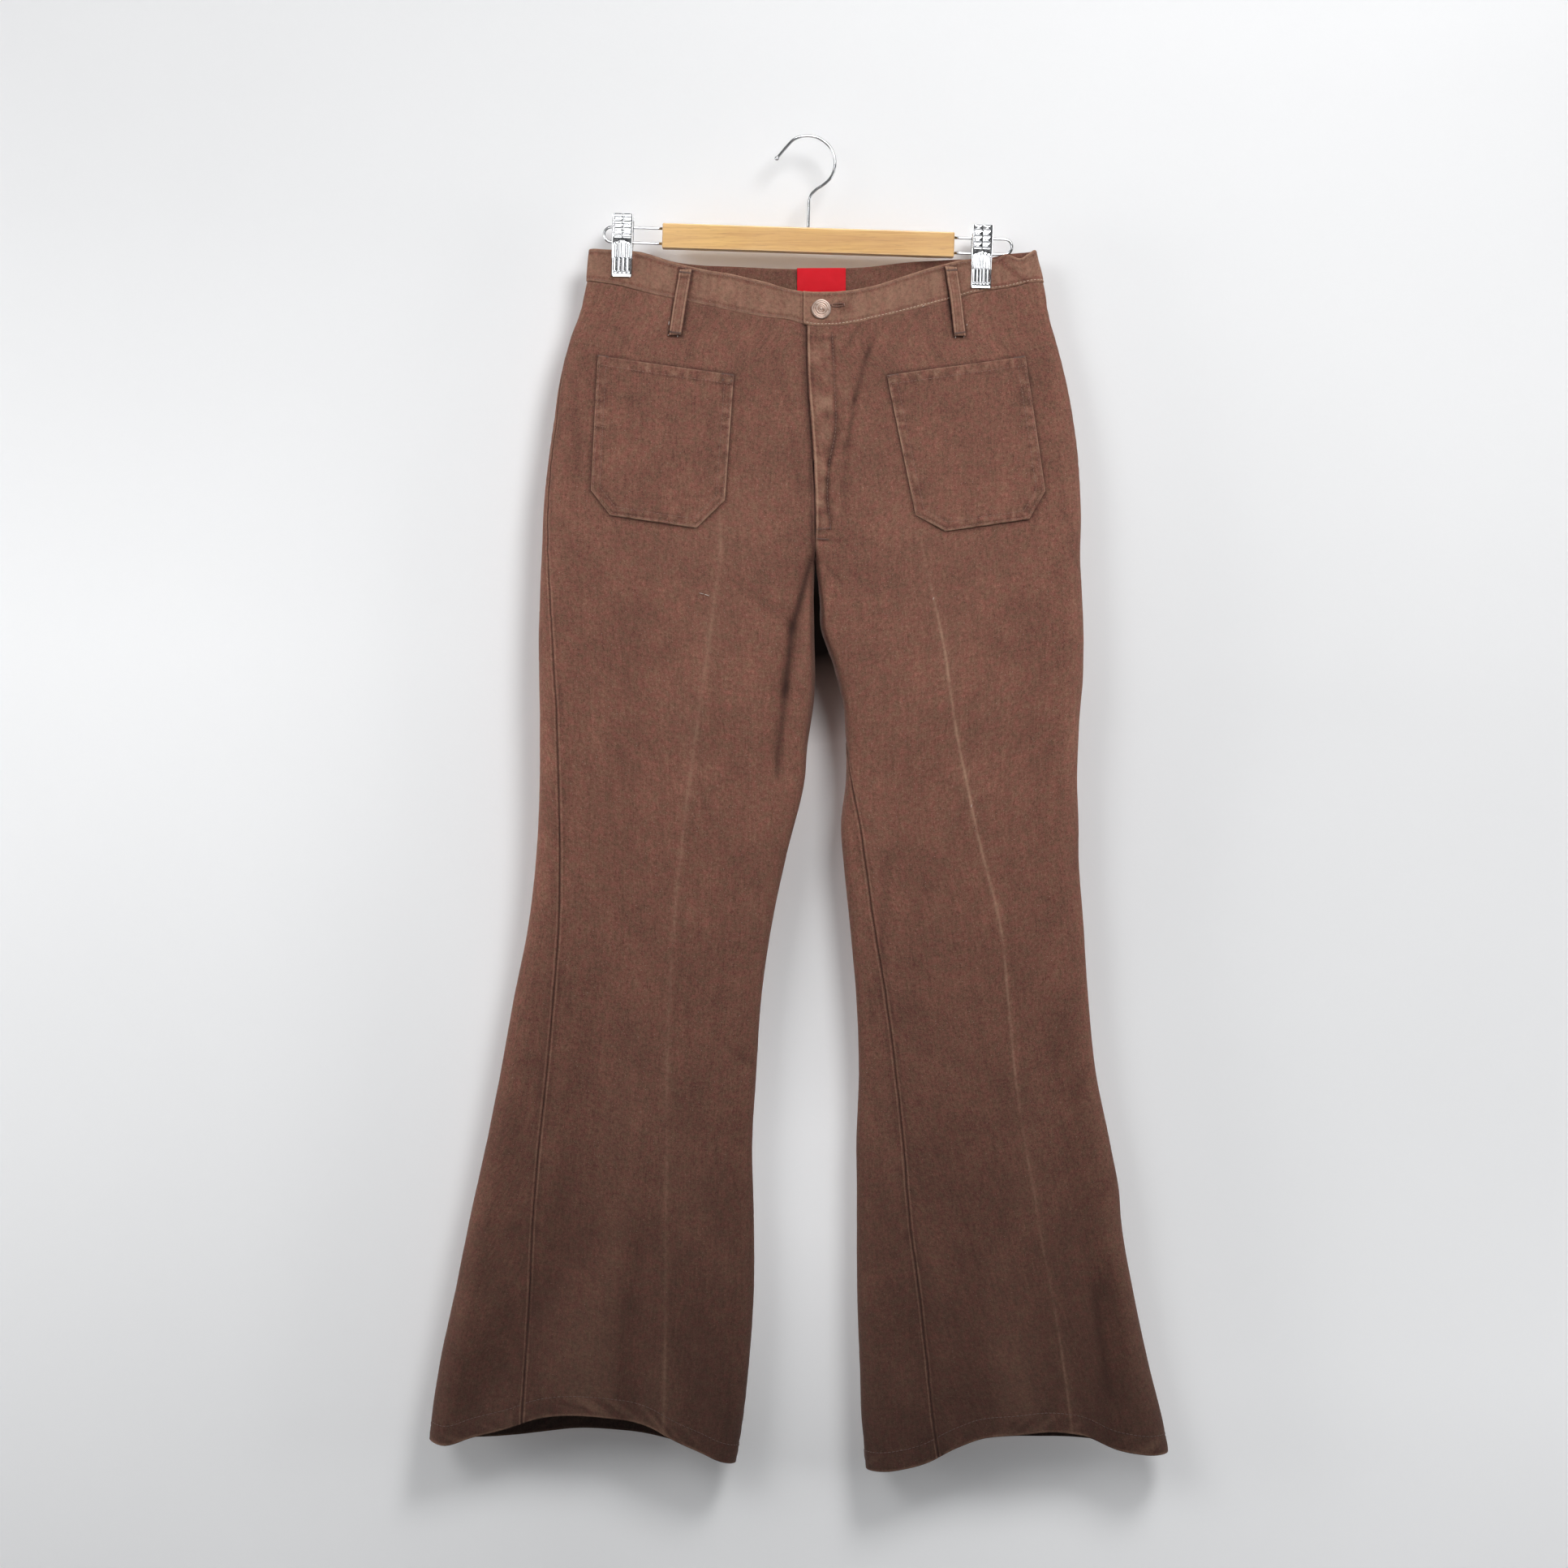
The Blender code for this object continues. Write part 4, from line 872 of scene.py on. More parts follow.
def denim_material(name, settings):
    """Brown heathered twill: mixed dark and pale fibres, redder and browner patches, long soft
    streaks, pale flecks and a fine diagonal twill. Paler where the wear_and_shade attribute is
    high, for rubbed wear and painted highlights; darker where it is below zero, mostly painted
    shade and partly less faded cloth in the seam grooves; and, as a painted shade by height, much
    darker down the legs and a little darker from the hips up."""
    n = Nodes(name)
    uv = n.add("ShaderNodeUVMap", uv_map="surface").outputs[0]
    wear_and_shade = n.add("ShaderNodeAttribute", attribute_name="wear_and_shade").outputs["Fac"]
    height = n.part(n.place(), 2)
    fibre = n.noise(uv, 950.0, 2.0, 0.7)
    heather = n.noise(uv, 330.0, 3.0, 0.7)
    streak = n.noise(n.stretch(uv, (620.0, 90.0, 1.0)), 1.0, 2.0, 0.6)
    tint = n.noise(uv, 150.0, 3.0, 0.7)
    mottle = n.noise(uv, 20.0, 3.0, 0.55)
    fleck = n.noise(uv, 900.0, 1.0, 0.5)
    mixed = n.sum(n.product(fibre, 0.42), n.sum(n.product(heather, 0.40),
                                                n.product(streak, 0.18)))
    tone = n.between(mixed, 0.382, 0.628)
    colour = n.mix(tone, rgb(settings.denim_dark), rgb(settings.denim_light))
    warmth = n.mix(n.between(tint, 0.38, 0.62), (1.07, 0.93, 0.95, 1), (0.95, 1.06, 0.97, 1))
    colour = n.mix(1.0, colour, warmth, "MULTIPLY")
    # Painted shade by height: the colour falls to 0.29 at the hem and to 0.91 from the hips up.
    height_shade = n.product(n.between(height, -1.17, -0.60, 0.29, 1.0),
                     n.between(height, -0.50, -0.22, 1.0, 0.91))
    cloud = n.noise(uv, 55.0, 2.0, 0.6)
    slub = n.noise(n.stretch(uv, (170.0, 14.0, 1.0)), 1.0, 3.0, 0.6)
    uneven = n.product(n.between(cloud, 0.3, 0.7, 0.91, 1.09),
                       n.between(slub, 0.3, 0.7, 0.91, 1.09))
    shade = n.product(n.product(n.between(mottle, 0.3, 0.7, 0.88, 1.12), height_shade), uneven)
    colour = n.shaded(colour, shade)
    pale = n.product(n.between(fleck, 0.69, 0.75, 0.0, 0.6), height_shade)
    colour = n.mix(pale, colour, rgb(settings.denim_fleck))
    # Above zero the attribute pales the cloth for rubbed wear and painted highlights; below zero it
    # darkens it with painted shade, partly also less faded cloth in the seam grooves.
    rubbed = n.product(wear_and_shade, n.between(heather, 0.3, 0.6, 0.6, 1.0), clamp=True)
    colour = n.mix(rubbed, colour, rgb(settings.denim_worn_and_highlight))
    groove = n.product(wear_and_shade, -1.0, clamp=True)
    colour = n.mix(groove, colour, rgb(settings.denim_shade))
    twill = n.add("ShaderNodeTexWave", {"Vector": n.stretch(uv, (1.0, 1.9, 1.0)),
                                        "Scale": 420.0, "Distortion": 0.8,
                                        "Detail": 1.0}, bands_direction="DIAGONAL").outputs[1]
    rough = n.bump(n.sum(fibre, heather), 0.55, 0.0005)
    woven = n.bump(twill, 0.3, 0.00025, rough)
    return n.surface(Base_Color=colour, Roughness=0.93, Normal=woven, Specular_IOR_Level=0.2,
                     Sheen_Weight=0.08, Sheen_Roughness=0.5, Sheen_Tint=(0.9, 0.75, 0.66, 1))


def thread_material(name, colour):
    """Twisted sewing thread: a fine slanting ripple over one colour."""
    n = Nodes(name)
    place = n.place()
    tone = n.noise(place, 900.0, 2.0)
    mixed = n.mix(n.between(tone, 0.3, 0.7), rgb(tuple(0.7 * c for c in colour)), rgb(colour))
    return n.surface(Base_Color=mixed, Roughness=0.7, Normal=n.bump(tone, 0.4, 0.0002),
                     Sheen_Weight=0.1)


def chrome_material(name, roughness, shade):
    """Bright plating with faint brushing and small specks in the polish. The shade darkens its
    colour: a painted shade for the darker room it reflects.
    """
    bright = (0.72 * shade, 0.73 * shade, 0.75 * shade)
    dull = (0.58 * shade, 0.58 * shade, 0.59 * shade)
    n = Nodes(name)
    place = n.place()
    brushed = n.noise(n.stretch(place, (900.0, 900.0, 120.0)), 1.0, 3.0)
    specks = n.noise(place, 300.0, 3.0)
    rough = n.between(specks, 0.3, 0.75, roughness, roughness + 0.12)
    tint = n.mix(n.between(specks, 0.45, 0.7), rgb(bright), rgb(dull))
    return n.surface(Base_Color=tint, Metallic=1.0, Roughness=rough,
                     Normal=n.bump(brushed, 0.06, 0.0002))


def button_material(name):
    """Worn copper-grey metal: copper in the hollows, silver where it is rubbed."""
    n = Nodes(name)
    place = n.place()
    patches = n.noise(place, 420.0, 4.0, 0.6)
    wear_and_shade = n.add("ShaderNodeAttribute", attribute_name="wear_and_shade").outputs["Fac"]
    rubbed = n.sum(n.product(wear_and_shade, 0.7), n.between(patches, 0.4, 0.7, 0, 0.6), clamp=True)
    colour = n.mix(rubbed, (0.14, 0.082, 0.060, 1), (0.27, 0.215, 0.185, 1))
    return n.surface(Base_Color=colour, Metallic=1.0,
                     Roughness=n.between(patches, 0.3, 0.7, 0.34, 0.55),
                     Normal=n.bump(patches, 0.25, 0.0003))


def label_material(name):
    """Red woven ribbon: fine ribs both ways and cloudy brighter patches."""
    n = Nodes(name)
    uv = n.add("ShaderNodeUVMap", uv_map="surface").outputs[0]
    ribs = n.add("ShaderNodeTexWave", {"Vector": uv, "Scale": 560.0, "Distortion": 0.4},
                 bands_direction="Y").outputs[1]
    cords = n.add("ShaderNodeTexWave", {"Vector": uv, "Scale": 420.0, "Distortion": 0.4},
                  bands_direction="X").outputs[1]
    woven = n.product(ribs, cords)
    cloudy = n.noise(uv, 130.0, 3.0)
    colour = n.mix(n.between(woven, 0.1, 0.9), (0.60, 0.002, 0.010, 1), (0.90, 0.006, 0.022, 1))
    colour = n.mix(n.between(cloudy, 0.4, 0.8, 0, 0.2), colour, (0.92, 0.02, 0.04, 1))
    return n.surface(Base_Color=colour, Roughness=0.7, Specular_IOR_Level=0.15,
                     Normal=n.bump(woven, 0.5, 0.0003), Sheen_Weight=0.05)


def wood_material(name, settings):
    """Varnished pale hardwood: long grain, growth bands, pores and a clear coat."""
    n = Nodes(name)
    place = n.place()
    bands = n.noise(n.stretch(place, (5.0, 60.0, 110.0)), 1.0, 3.0, 0.6)
    grain = n.noise(n.stretch(place, (22.0, 700.0, 900.0)), 1.0, 3.0, 0.6)
    pores = n.noise(n.stretch(place, (90.0, 1500.0, 2200.0)), 1.0, 1.0, 0.5)
    patch = n.noise(place, 16.0, 2.0)
    tone = n.sum(n.product(bands, 0.6), n.product(grain, 0.4))
    colour = n.mix(n.between(tone, 0.35, 0.65), rgb(settings.wood_dark), rgb(settings.wood_light))
    colour = n.mix(n.between(pores, 0.62, 0.75, 0, 0.5), colour, (0.32, 0.15, 0.045, 1))
    colour = n.mix(n.between(patch, 0.4, 0.7, 0, 0.3), colour, (0.72, 0.42, 0.16, 1))
    return n.surface(Base_Color=colour, Roughness=n.between(grain, 0.3, 0.7, 0.34, 0.46),
                     Normal=n.bump(grain, 0.12, 0.0003), Coat_Weight=0.35, Coat_Roughness=0.2)


# Cloth panels

EDGE_STEPS = (0.0, 0.5, 1.1, 1.9, 3.0, 4.4)
CREASE_STEPS = (0.0, 0.8, 1.8, 3.2, 5.0)
HEM_STEPS = (0.0, 0.25, 0.6, 1.1, 1.9, 3.0)
HIP_Z = -215.0
LOW_Z = -1075.0
SEAM_ROLL = 0.8
SEAM_REACH = 0.9
HEM_DEPTH = 17.0
FRONT_COUNTS = (40, 56)
BACK_COUNTS = (36, 36)
THIGH_Z = -425.0
HIP_STEP = 2.1
LEG_STEP = 4.2
GRID_TOP = -150.0
GRID_FOOT = -1150.0
HEM_ROWS = 34


def panel_limits(side, face, z):
    """Where a panel starts, folds or is pressed, and ends, as distances round the section."""
    half_gap = SEAM_GAP / 2
    width = leg_width(side, z)
    out_seam = leg_value(side, "out_seam", z)
    in_seam = np.where(z < CROTCH_Z, leg_value(side, "in_seam", z), 0)
    if face == "front":
        start = out_seam + half_gap
        end = width - in_seam - half_gap
        if side == "left":
            end = end + fly_lap(z)
        middle = np.abs(leg_value(side, "crease", z) - leg_value(side, "outer", z))
    else:
        start = width - in_seam + half_gap
        end = 2 * width + out_seam - half_gap
        middle = (start + end) / 2
    return start, middle, end


def panel_columns(side, face, z, lap):
    """Distances round the section for each row of a panel, even along the cloth's own length
    and closer at the seams and the pressed crease."""
    start, middle, end = panel_limits(side, face, z)
    dense = start[:, None] + (end - start)[:, None] * np.linspace(0, 1, 700)[None, :]
    run = run_length(leg_point(side, dense, z[:, None] + 0 * dense, lap), 1)
    counts = FRONT_COUNTS if face == "front" else BACK_COUNTS
    rows = []
    for i in range(len(z)):
        pin = np.interp(middle[i], dense[i], run[i])
        first = spread(pin, EDGE_STEPS, CREASE_STEPS, counts[0])
        second = spread(run[i, -1] - pin, CREASE_STEPS, EDGE_STEPS, counts[1])
        places = np.concatenate([first, pin + second[1:]])
        rows.append(np.interp(places, run[i], dense[i]))
    return np.array(rows)


def seam_height(face, x):
    """Height of the waistband's lower edge."""
    return read_table(BAND_FRONT if face == "front" else BAND_BACK, BAND_COLUMNS, "seam", x)


def panel_grid(side, face, lap):
    """Distances round the section and heights of every point of a panel, row by row."""
    hip_count = round((GRID_TOP - HIP_Z) / HIP_STEP)
    straight = np.concatenate([
        np.linspace(HIP_Z, THIGH_Z, round((HIP_Z - THIGH_Z) / HIP_STEP)),
        np.linspace(THIGH_Z, LOW_Z, round((THIGH_Z - LOW_Z) / LEG_STEP))[1:]])
    guide = np.concatenate([np.linspace(GRID_TOP, HIP_Z, hip_count)[:-1], straight,
                            np.linspace(LOW_Z, GRID_FOOT, HEM_ROWS)[1:]])
    u = panel_columns(side, face, guide, lap)
    width = leg_width(side, guide)[:, None]
    on_front, from_outer = folded(u, width, np.where(fork_share(guide) >= 1, lap, 0.0)[:, None])
    share = np.clip(from_outer / width, 0, 1)
    start, _, end = panel_limits(side, face, guide)
    part = (u - start[:, None]) / (end - start)[:, None]

    def at_heights(part, z):
        """The distance round the section that is the same part of the panel at other heights."""
        start, _, end = panel_limits(side, face, z)
        return start + (end - start) * part

    top = np.full(u.shape[1], GRID_TOP)
    for _ in range(4):
        x_top = leg_point(side, at_heights(part[0], top), top, lap)[:, 0]
        top = seam_height(face, x_top) - SEAM_GAP
    hem_table = LEFT_HEM if side == "left" else RIGHT_HEM
    hem = np.where(on_front[-1], read_table(hem_table, HEM_COLUMNS, "front", share[-1]),
                   read_table(hem_table, HEM_COLUMNS, "back", share[-1]))
    z = np.repeat(guide[:, None], u.shape[1], axis=1)
    hip_rows = hip_count - 1
    t = np.linspace(0, 1, hip_count)[:-1, None]
    z[:hip_rows] = top + (HIP_Z - top) * t
    low = hip_rows + len(straight)
    length = (LOW_Z - hem).mean()
    places = spread(length, (0.0,), HEM_STEPS, HEM_ROWS - 1 - len(HEM_STEPS))[1:]
    z[low:] = LOW_Z + (hem - LOW_Z) * (places / length)[:, None]
    return at_heights(part, z), z


def build_panel(side, face, material):
    """One cut piece of cloth: the leg's surface, rolled under at the seams, puckered beside
    them, with a turned and stitched hem."""
    name = face + "_" + side
    lap = FLY_LAP if (side, face) == ("left", "front") else 0.0
    u, z = panel_grid(side, face, lap)
    base = leg_point(side, u, z, lap)
    normal = grid_normals(base)
    sign = -1.0 if face == "front" else 1.0
    if (normal[len(normal) // 2, normal.shape[1] // 2, 1] * sign) < 0:
        normal = -normal
    across = run_length(base, 1)
    from_end = across[:, -1:] - across
    edge = np.minimum(across, from_end)
    to_hem = run_length(base[::-1], 0)[::-1]
    down = run_length(base, 0)
    inner_edge = from_end if face == "front" else across
    fork_zone = smooth_step((z + 400) / 18) * smooth_step((-312 - z) / 10)
    roll = SEAM_ROLL * np.exp(-edge / SEAM_REACH) * (1 - fork_zone * bell(inner_edge, 8))
    ripple = soft_noise(down / 5.5, edge / 9 + 3, 21) * np.exp(-edge / 6.5) * 0.38
    ripple += soft_noise(down / 14, edge / 20, 22) * np.exp(-edge / 14) * 0.4
    twist = soft_noise((across * 0.55 + to_hem) / 4.6, across / 30, 23)
    roping = twist * bell(to_hem - HEM_DEPTH * 0.5, 8.5) * 0.34
    stitch_line = bell(to_hem - HEM_DEPTH, 1.3)
    hem_round = 0.9 * (1 - round_edge(to_hem, 1.2))
    swell = 0.35 * smooth_step((HEM_DEPTH + 2 - to_hem) / 3)
    lift = swell + ripple + roping - roll - 0.35 * stitch_line - hem_round
    lift = lift * (1 - pinch_share(base[..., 0], base[..., 2]))
    outer = base + normal * lift[..., None]
    doubled = smooth_step((HEM_DEPTH + 1 - to_hem) / 2)
    thick = 1.2 + 1.1 * doubled - 0.7 * (1 - round_edge(to_hem, 1.2))
    inner = outer - normal * thick[..., None]
    wear_and_shade = panel_wear_and_shade(side, face, base[..., 0], z, across, down, edge, to_hem)
    wear_and_shade += 0.14 * twist * bell(to_hem - 8, 8)
    SURFACES[name] = {"outer": outer, "normal": normal, "to_hem": to_hem}
    return shell(name + "_cloth", outer, inner, material, (across, -down), wear_and_shade)


def panel_wear_and_shade(side, face, x, z, across, down, edge, to_hem):
    """Wear and painted light of a panel: above zero where it is rubbed pale or carries a painted
    highlight, below zero where painted shade darkens its grooves and folds and the cloth beside the
    fly, pockets and belt loops. It sums bells along the seams, folds, pressed crease, fly, pocket
    edges and hem."""
    off = np.abs(x - leg_value(side, "crease", z))
    broken = 0.7 + 0.45 * soft_noise(down / 21, 0.4, 24) + 0.3 * soft_noise(down / 6, 0.8, 29)
    # Seam edges rubbed pale; the dark lines in the groove and beside the allowance are partly
    # painted shade, partly less faded cloth.
    wear_and_shade = 0.26 * np.exp(-(edge / 1.5) ** 2) * (0.75 + 0.5 * soft_noise(down / 9, 0.3, 25))
    wear_and_shade = wear_and_shade - 0.95 * np.exp(-(edge / 0.8) ** 2) + 0.26 * bell(edge - 1.9, 0.6)
    wear_and_shade -= 0.25 * bell(edge - 3.6, 1.3) * (0.8 + soft_noise(down / 12, 4.1, 28))
    # Painted shade and highlight along the folds, and the belt loops' painted shadow.
    wear_and_shade = wear_and_shade + fold_shade(side, face, x, z) - loop_shadow(face, x, z)
    # A painted shadow just outside each pocket's outline.
    if face == "front":
        outside = np.minimum(outline_distances(side, x, z).min(axis=0) + 0.4, 0)
        wear_and_shade -= 0.62 * bell(outside, 1.7) * smooth_step((z + 370) / 8)
    over_fly = smooth_step((z + 372) / 10)
    past_fly = x - leg_value("left", "inner", z)
    # A painted shadow on the left front beside the fly's edge.
    if (side, face) == ("left", "front"):
        wear_and_shade -= 0.62 * over_fly * bell(np.minimum(past_fly + 1.0, 0), 3.2)
    # On the right front: painted shade in the groove of the fly's stitched line, paler over the
    # raised strip, a painted highlight along the fly's edge, and painted shade and highlight over
    # the ripples beside the line.
    if (side, face) == ("right", "front"):
        line, tall = fly_line(z)
        wear_and_shade -= 0.6 * tall * bell(x - line, 2.0) * (0.75 + 0.5 * soft_noise(z / 8, 2, 75))
        wear_and_shade += 0.22 * tall * smooth_step((line - x) / 4) * (0.7 + soft_noise(z / 9, 3, 76))
        wear_and_shade += 0.45 * over_fly * bell(past_fly - 1.6, 0.9)
        near_line = tall * bell(x - line + 5, 15) * smooth_step((x + 2) / 4)
        wear_and_shade += near_line * fly_ripples(x, z, 0.30, 0.22)
    if face == "front":
        lasting = 1 - 0.72 * smooth_step((-560 - z) / 420)
        if side == "right":
            pressed = smooth_step((-325 - z) / 150) * 0.82 * broken * lasting
            wear_and_shade += pressed * (bell(off, 1.1) + 0.16 * bell(off, 6.0))
        else:
            pressed = smooth_step((-300 - z) / 60) * 0.27 * broken * (0.5 + 0.5 * lasting)
            wear_and_shade += pressed * (bell(off, 1.5) + 0.35 * bell(off, 7.0))
    wear_and_shade += 0.5 * bell(to_hem, 1.6) * (0.8 + 0.4 * soft_noise(across / 8, 0.7, 26))
    return wear_and_shade + 0.05 * soft_noise(across / 35, down / 60, 27)


# Waistband

BAND_STEPS = (0.0, 0.25, 0.6, 1.1, 1.9)
BAND_ROUND = 1.1
BAND_SPACING = 2.4
BAND_RUN = 209.0
BAND_TURN = 14.0
BAND_CORNER = 3.0
CORNER_CREASE_X = 163.0
CORNER_CREASE_Z = -103.0


def band_stations():
    """Side, face and run from the outer fold for each station round the waistband, from the
    overlapping end, round the right side and the back, to the end under it."""
    turn = BAND_TURN * (1 - np.cos(np.linspace(0, math.pi / 2, 12)))
    flat = np.arange(BAND_TURN + BAND_SPACING, BAND_RUN, BAND_SPACING)
    runs = np.concatenate([turn, flat]) / BAND_RUN
    closed = np.append(runs, 1.0)
    waist = float(leg_value("right", "outer", WAIST_Z))
    end = 1 + TAB_REACH / waist * np.array([1.0, 0.93, 0.82, 0.6, 0.3])
    stations = [("right", "front", float(s)) for s in end]
    stations += [("right", "front", float(s)) for s in closed[::-1]]
    stations += [("right", "back", float(s)) for s in closed[1:]]
    stations += [("left", "back", float(s)) for s in runs[::-1]]
    stations += [("left", "front", float(s)) for s in closed[1:]]
    return stations


def band_edge(column):
    """Points of the waistband along one of its edges, named by its column."""
    points = []
    for side, face, share in band_stations():
        table = BAND_FRONT if face == "front" else BAND_BACK
        waist = float(leg_value(side, "outer", WAIST_Z))
        lap = FLY_LAP if (side, face) == ("left", "front") else 0.0
        x = waist * (1 - share) + lap * share
        z = float(read_table(table, BAND_COLUMNS, column, x))
        width = abs(float(leg_value(side, "outer", z)))
        run = SEAM_GAP / 2 + (width + lap - SEAM_GAP) * share
        u = run if face == "front" else 2 * width - run
        reach = 2 * FLY_LAP if face == "front" else 0.0
        points.append(leg_point(side, np.array(u), np.array(z), reach))
    return np.array(points)


def band_grid():
    """The strip from top edge to bottom edge: straight between the two, with a rounded lower
    corner at the overlapping end. Returns points, normals and the distance along and down."""
    top = band_edge("top")
    bottom = band_edge("seam")
    middle = (top + bottom) / 2
    along = np.gradient(middle, axis=0)
    normal = unit(np.cross(along, top - bottom))
    run = run_length(middle)
    height = np.linalg.norm(top - bottom, axis=1)
    lost = BAND_CORNER - np.sqrt(BAND_CORNER ** 2 - np.maximum(BAND_CORNER - run, 0) ** 2)
    down = spread(height - lost, BAND_STEPS, BAND_STEPS, 12)
    points = top[:, None] + (bottom - top)[:, None] * (down / height[:, None])[..., None]
    return points, normal, run, down, height - lost


def build_waistband(material):
    """One strip right round, rounded along its edges, puckered beside its two stitch lines."""
    points, normal, run, down, height = band_grid()
    along = run[:, None] + 0 * down
    up = height[:, None] - down
    edge = np.minimum(down, up)
    to_end = np.minimum(along, along[-1:] - along)
    round_off = BAND_ROUND * (1 - round_edge(edge, BAND_ROUND))
    round_off = np.maximum(round_off, BAND_ROUND * (1 - round_edge(to_end, 1.4)))
    fine = soft_noise(along / 4.2, 0.2 + down / 16, 31)
    puckers = 0.42 * fine * np.exp(-edge / 5)
    puckers += 0.35 * soft_noise(along / 9 + down / 30, down / 22, 32)
    stitched = 0.28 * (bell(down - 3.0, 0.8) + bell(up - 2.2, 0.8))
    x = points[..., 0]
    z = points[..., 2]
    crease_x = CORNER_CREASE_X - 1.1 * (z - CORNER_CREASE_Z)
    front = (normal[:, 1] < 0)[:, None]
    diagonal = 0.9 * bell(x - crease_x, 2.6) * (x > 150) * front
    lift = BAND_PROUD + puckers - stitched - round_off - diagonal
    lift = np.where(pinch_share(x, z) > 0.5, np.minimum(lift, BAND_PROUD), lift)
    outer = points + normal[:, None] * lift[..., None]
    inner_lift = BAND_PROUD - BAND_WALL + round_off
    inner = points + normal[:, None] * inner_lift[..., None]
    rubbed = 0.7 * bell(down, 1.1) + 0.45 * bell(up, 1.0) + 0.8 * bell(to_end, 1.2)
    wear_and_shade = rubbed * (0.8 + 0.5 * soft_noise(along / 7, 0.1, 33))
    # Paler overall, and a painted highlight on the raised puckers.
    wear_and_shade = wear_and_shade + 0.31 + 0.13 * fine
    # Painted shade at the buttonhole beside the button and in the corner crease, the belt loops'
    # painted shadow, and painted shade beside the stitch rows.
    wear_and_shade -= 0.7 * front * bell(x - 29.0, 3.6) * bell(z + 150.0, 1.7)
    wear_and_shade -= 0.3 * front * bell(x - 32.0, 6.0) * bell(z + 152.0, 5.0)
    wear_and_shade -= 0.55 * diagonal
    wear_and_shade -= np.where(front, loop_shadow("front", x, z), loop_shadow("back", x, z))
    wear_and_shade -= 0.35 * (bell(down - 4.2, 0.9) + bell(up - 3.6, 0.8))
    SURFACES["waistband"] = {"outer": outer, "normal": normal, "down": down, "height": height}
    # The inside is darker: painted shade.
    return shell("waistband_cloth", outer, inner, material, (along, -down), wear_and_shade,
                 0.35 * wear_and_shade - 0.22)


# Pockets

POCKET_HEM = 9.0
POCKET_TURN = 8.5
POCKET_STEPS = (0, 0.35, 0.8, 1.4, 2.2)
POCKET_SIDE = 119.0
POCKET_CORNER = 28.0
POCKET_WIDTH = 118.0
PALE_EDGES = {"left": (1, 2, 3), "right": (5, 4, 3)}


def outline_distances(side, x, z):
    """Distance of points from each of a pocket's six edges, clockwise from the top: above zero
    inside."""
    corners = np.array(POCKETS[side])
    found = []
    for i in range(len(corners)):
        a = corners[i]
        b = corners[(i + 1) % len(corners)]
        length = math.hypot(*(b - a))
        found.append(((x - a[0]) * (b[1] - a[1]) - (z - a[1]) * (b[0] - a[0])) / length)
    return np.array(found)


def pocket_run(distances, x, z):
    """A distance that runs along the nearest edge of a pocket: across under its top and bottom
    edges, down beside its sides and in between at its clipped corners."""
    nearest = distances.argmin(axis=0)
    return np.where((nearest == 0) | (nearest == 3), x, np.where(
        (nearest == 1) | (nearest == 5), z, (x + z) * 0.7))


def pocket_puckers(along, edge):
    """The sewing's puckers along a pocket's edges, from -1 to 1."""
    return soft_noise(along / 3.4, edge / 9, 41)


def pocket_lift(side, x, z):
    """How far a pocket's face stands off the cloth: turned edges and the top hem are thicker,
    the edges are rounded, and the sewing puckers them."""
    distances = np.maximum(outline_distances(side, x, z), 0)
    edge = distances.min(axis=0)
    hem = distances[0]
    turned = distances[1:].min(axis=0)
    lift = LAY_GAP + POCKET_THICK - 0.25
    lift += 0.5 * smooth_step((POCKET_TURN - turned) / 1.6 + 0.5)
    lift += 0.5 * smooth_step((POCKET_HEM - hem) / 1.4 + 0.5)
    lift = lift - 0.3 * bell(hem - POCKET_HEM + 0.8, 0.7) - 0.3 * bell(turned - 2.0, 0.7)
    along = pocket_run(distances, x, z)
    lift += 0.62 * pocket_puckers(along, edge) * bell(edge - 5, 5.5)
    lift = lift + 0.30 * soft_noise(x / 16, z / 17, 42) + 0.12 * soft_noise(x / 5, z / 6, 43)
    bag = bell(x - np.mean([c[0] for c in POCKETS[side]]), 34) * bell(z + 285, 38)
    return lift + 0.6 * bag - 1.3 * (1 - round_edge(edge, 1.3)), edge, hem, turned


def pocket_grid(side):
    """Places over a pocket's outline: straight lines from its left side to its right side."""
    corners = np.array(POCKETS[side])
    left = np.array([corners[0], corners[5], corners[4]])
    right = np.array([corners[1], corners[2], corners[3]])
    sides = spread(POCKET_SIDE, POCKET_STEPS, (0.0,), 62) / POCKET_SIDE
    clipped = spread(POCKET_CORNER, (0.0,), POCKET_STEPS, 12)[1:] / POCKET_CORNER
    steps = np.concatenate([sides, 1 + clipped])
    share = spread(POCKET_WIDTH, POCKET_STEPS, POCKET_STEPS, 62)[None, :, None] / POCKET_WIDTH
    ends = []
    for line in (left, right):
        ends.append(np.stack([np.interp(steps, (0, 1, 2), line[:, i]) for i in (0, 1)], axis=-1))
    places = ends[0][:, None] * (1 - share) + ends[1][:, None] * share
    return places[..., 0], places[..., 1]


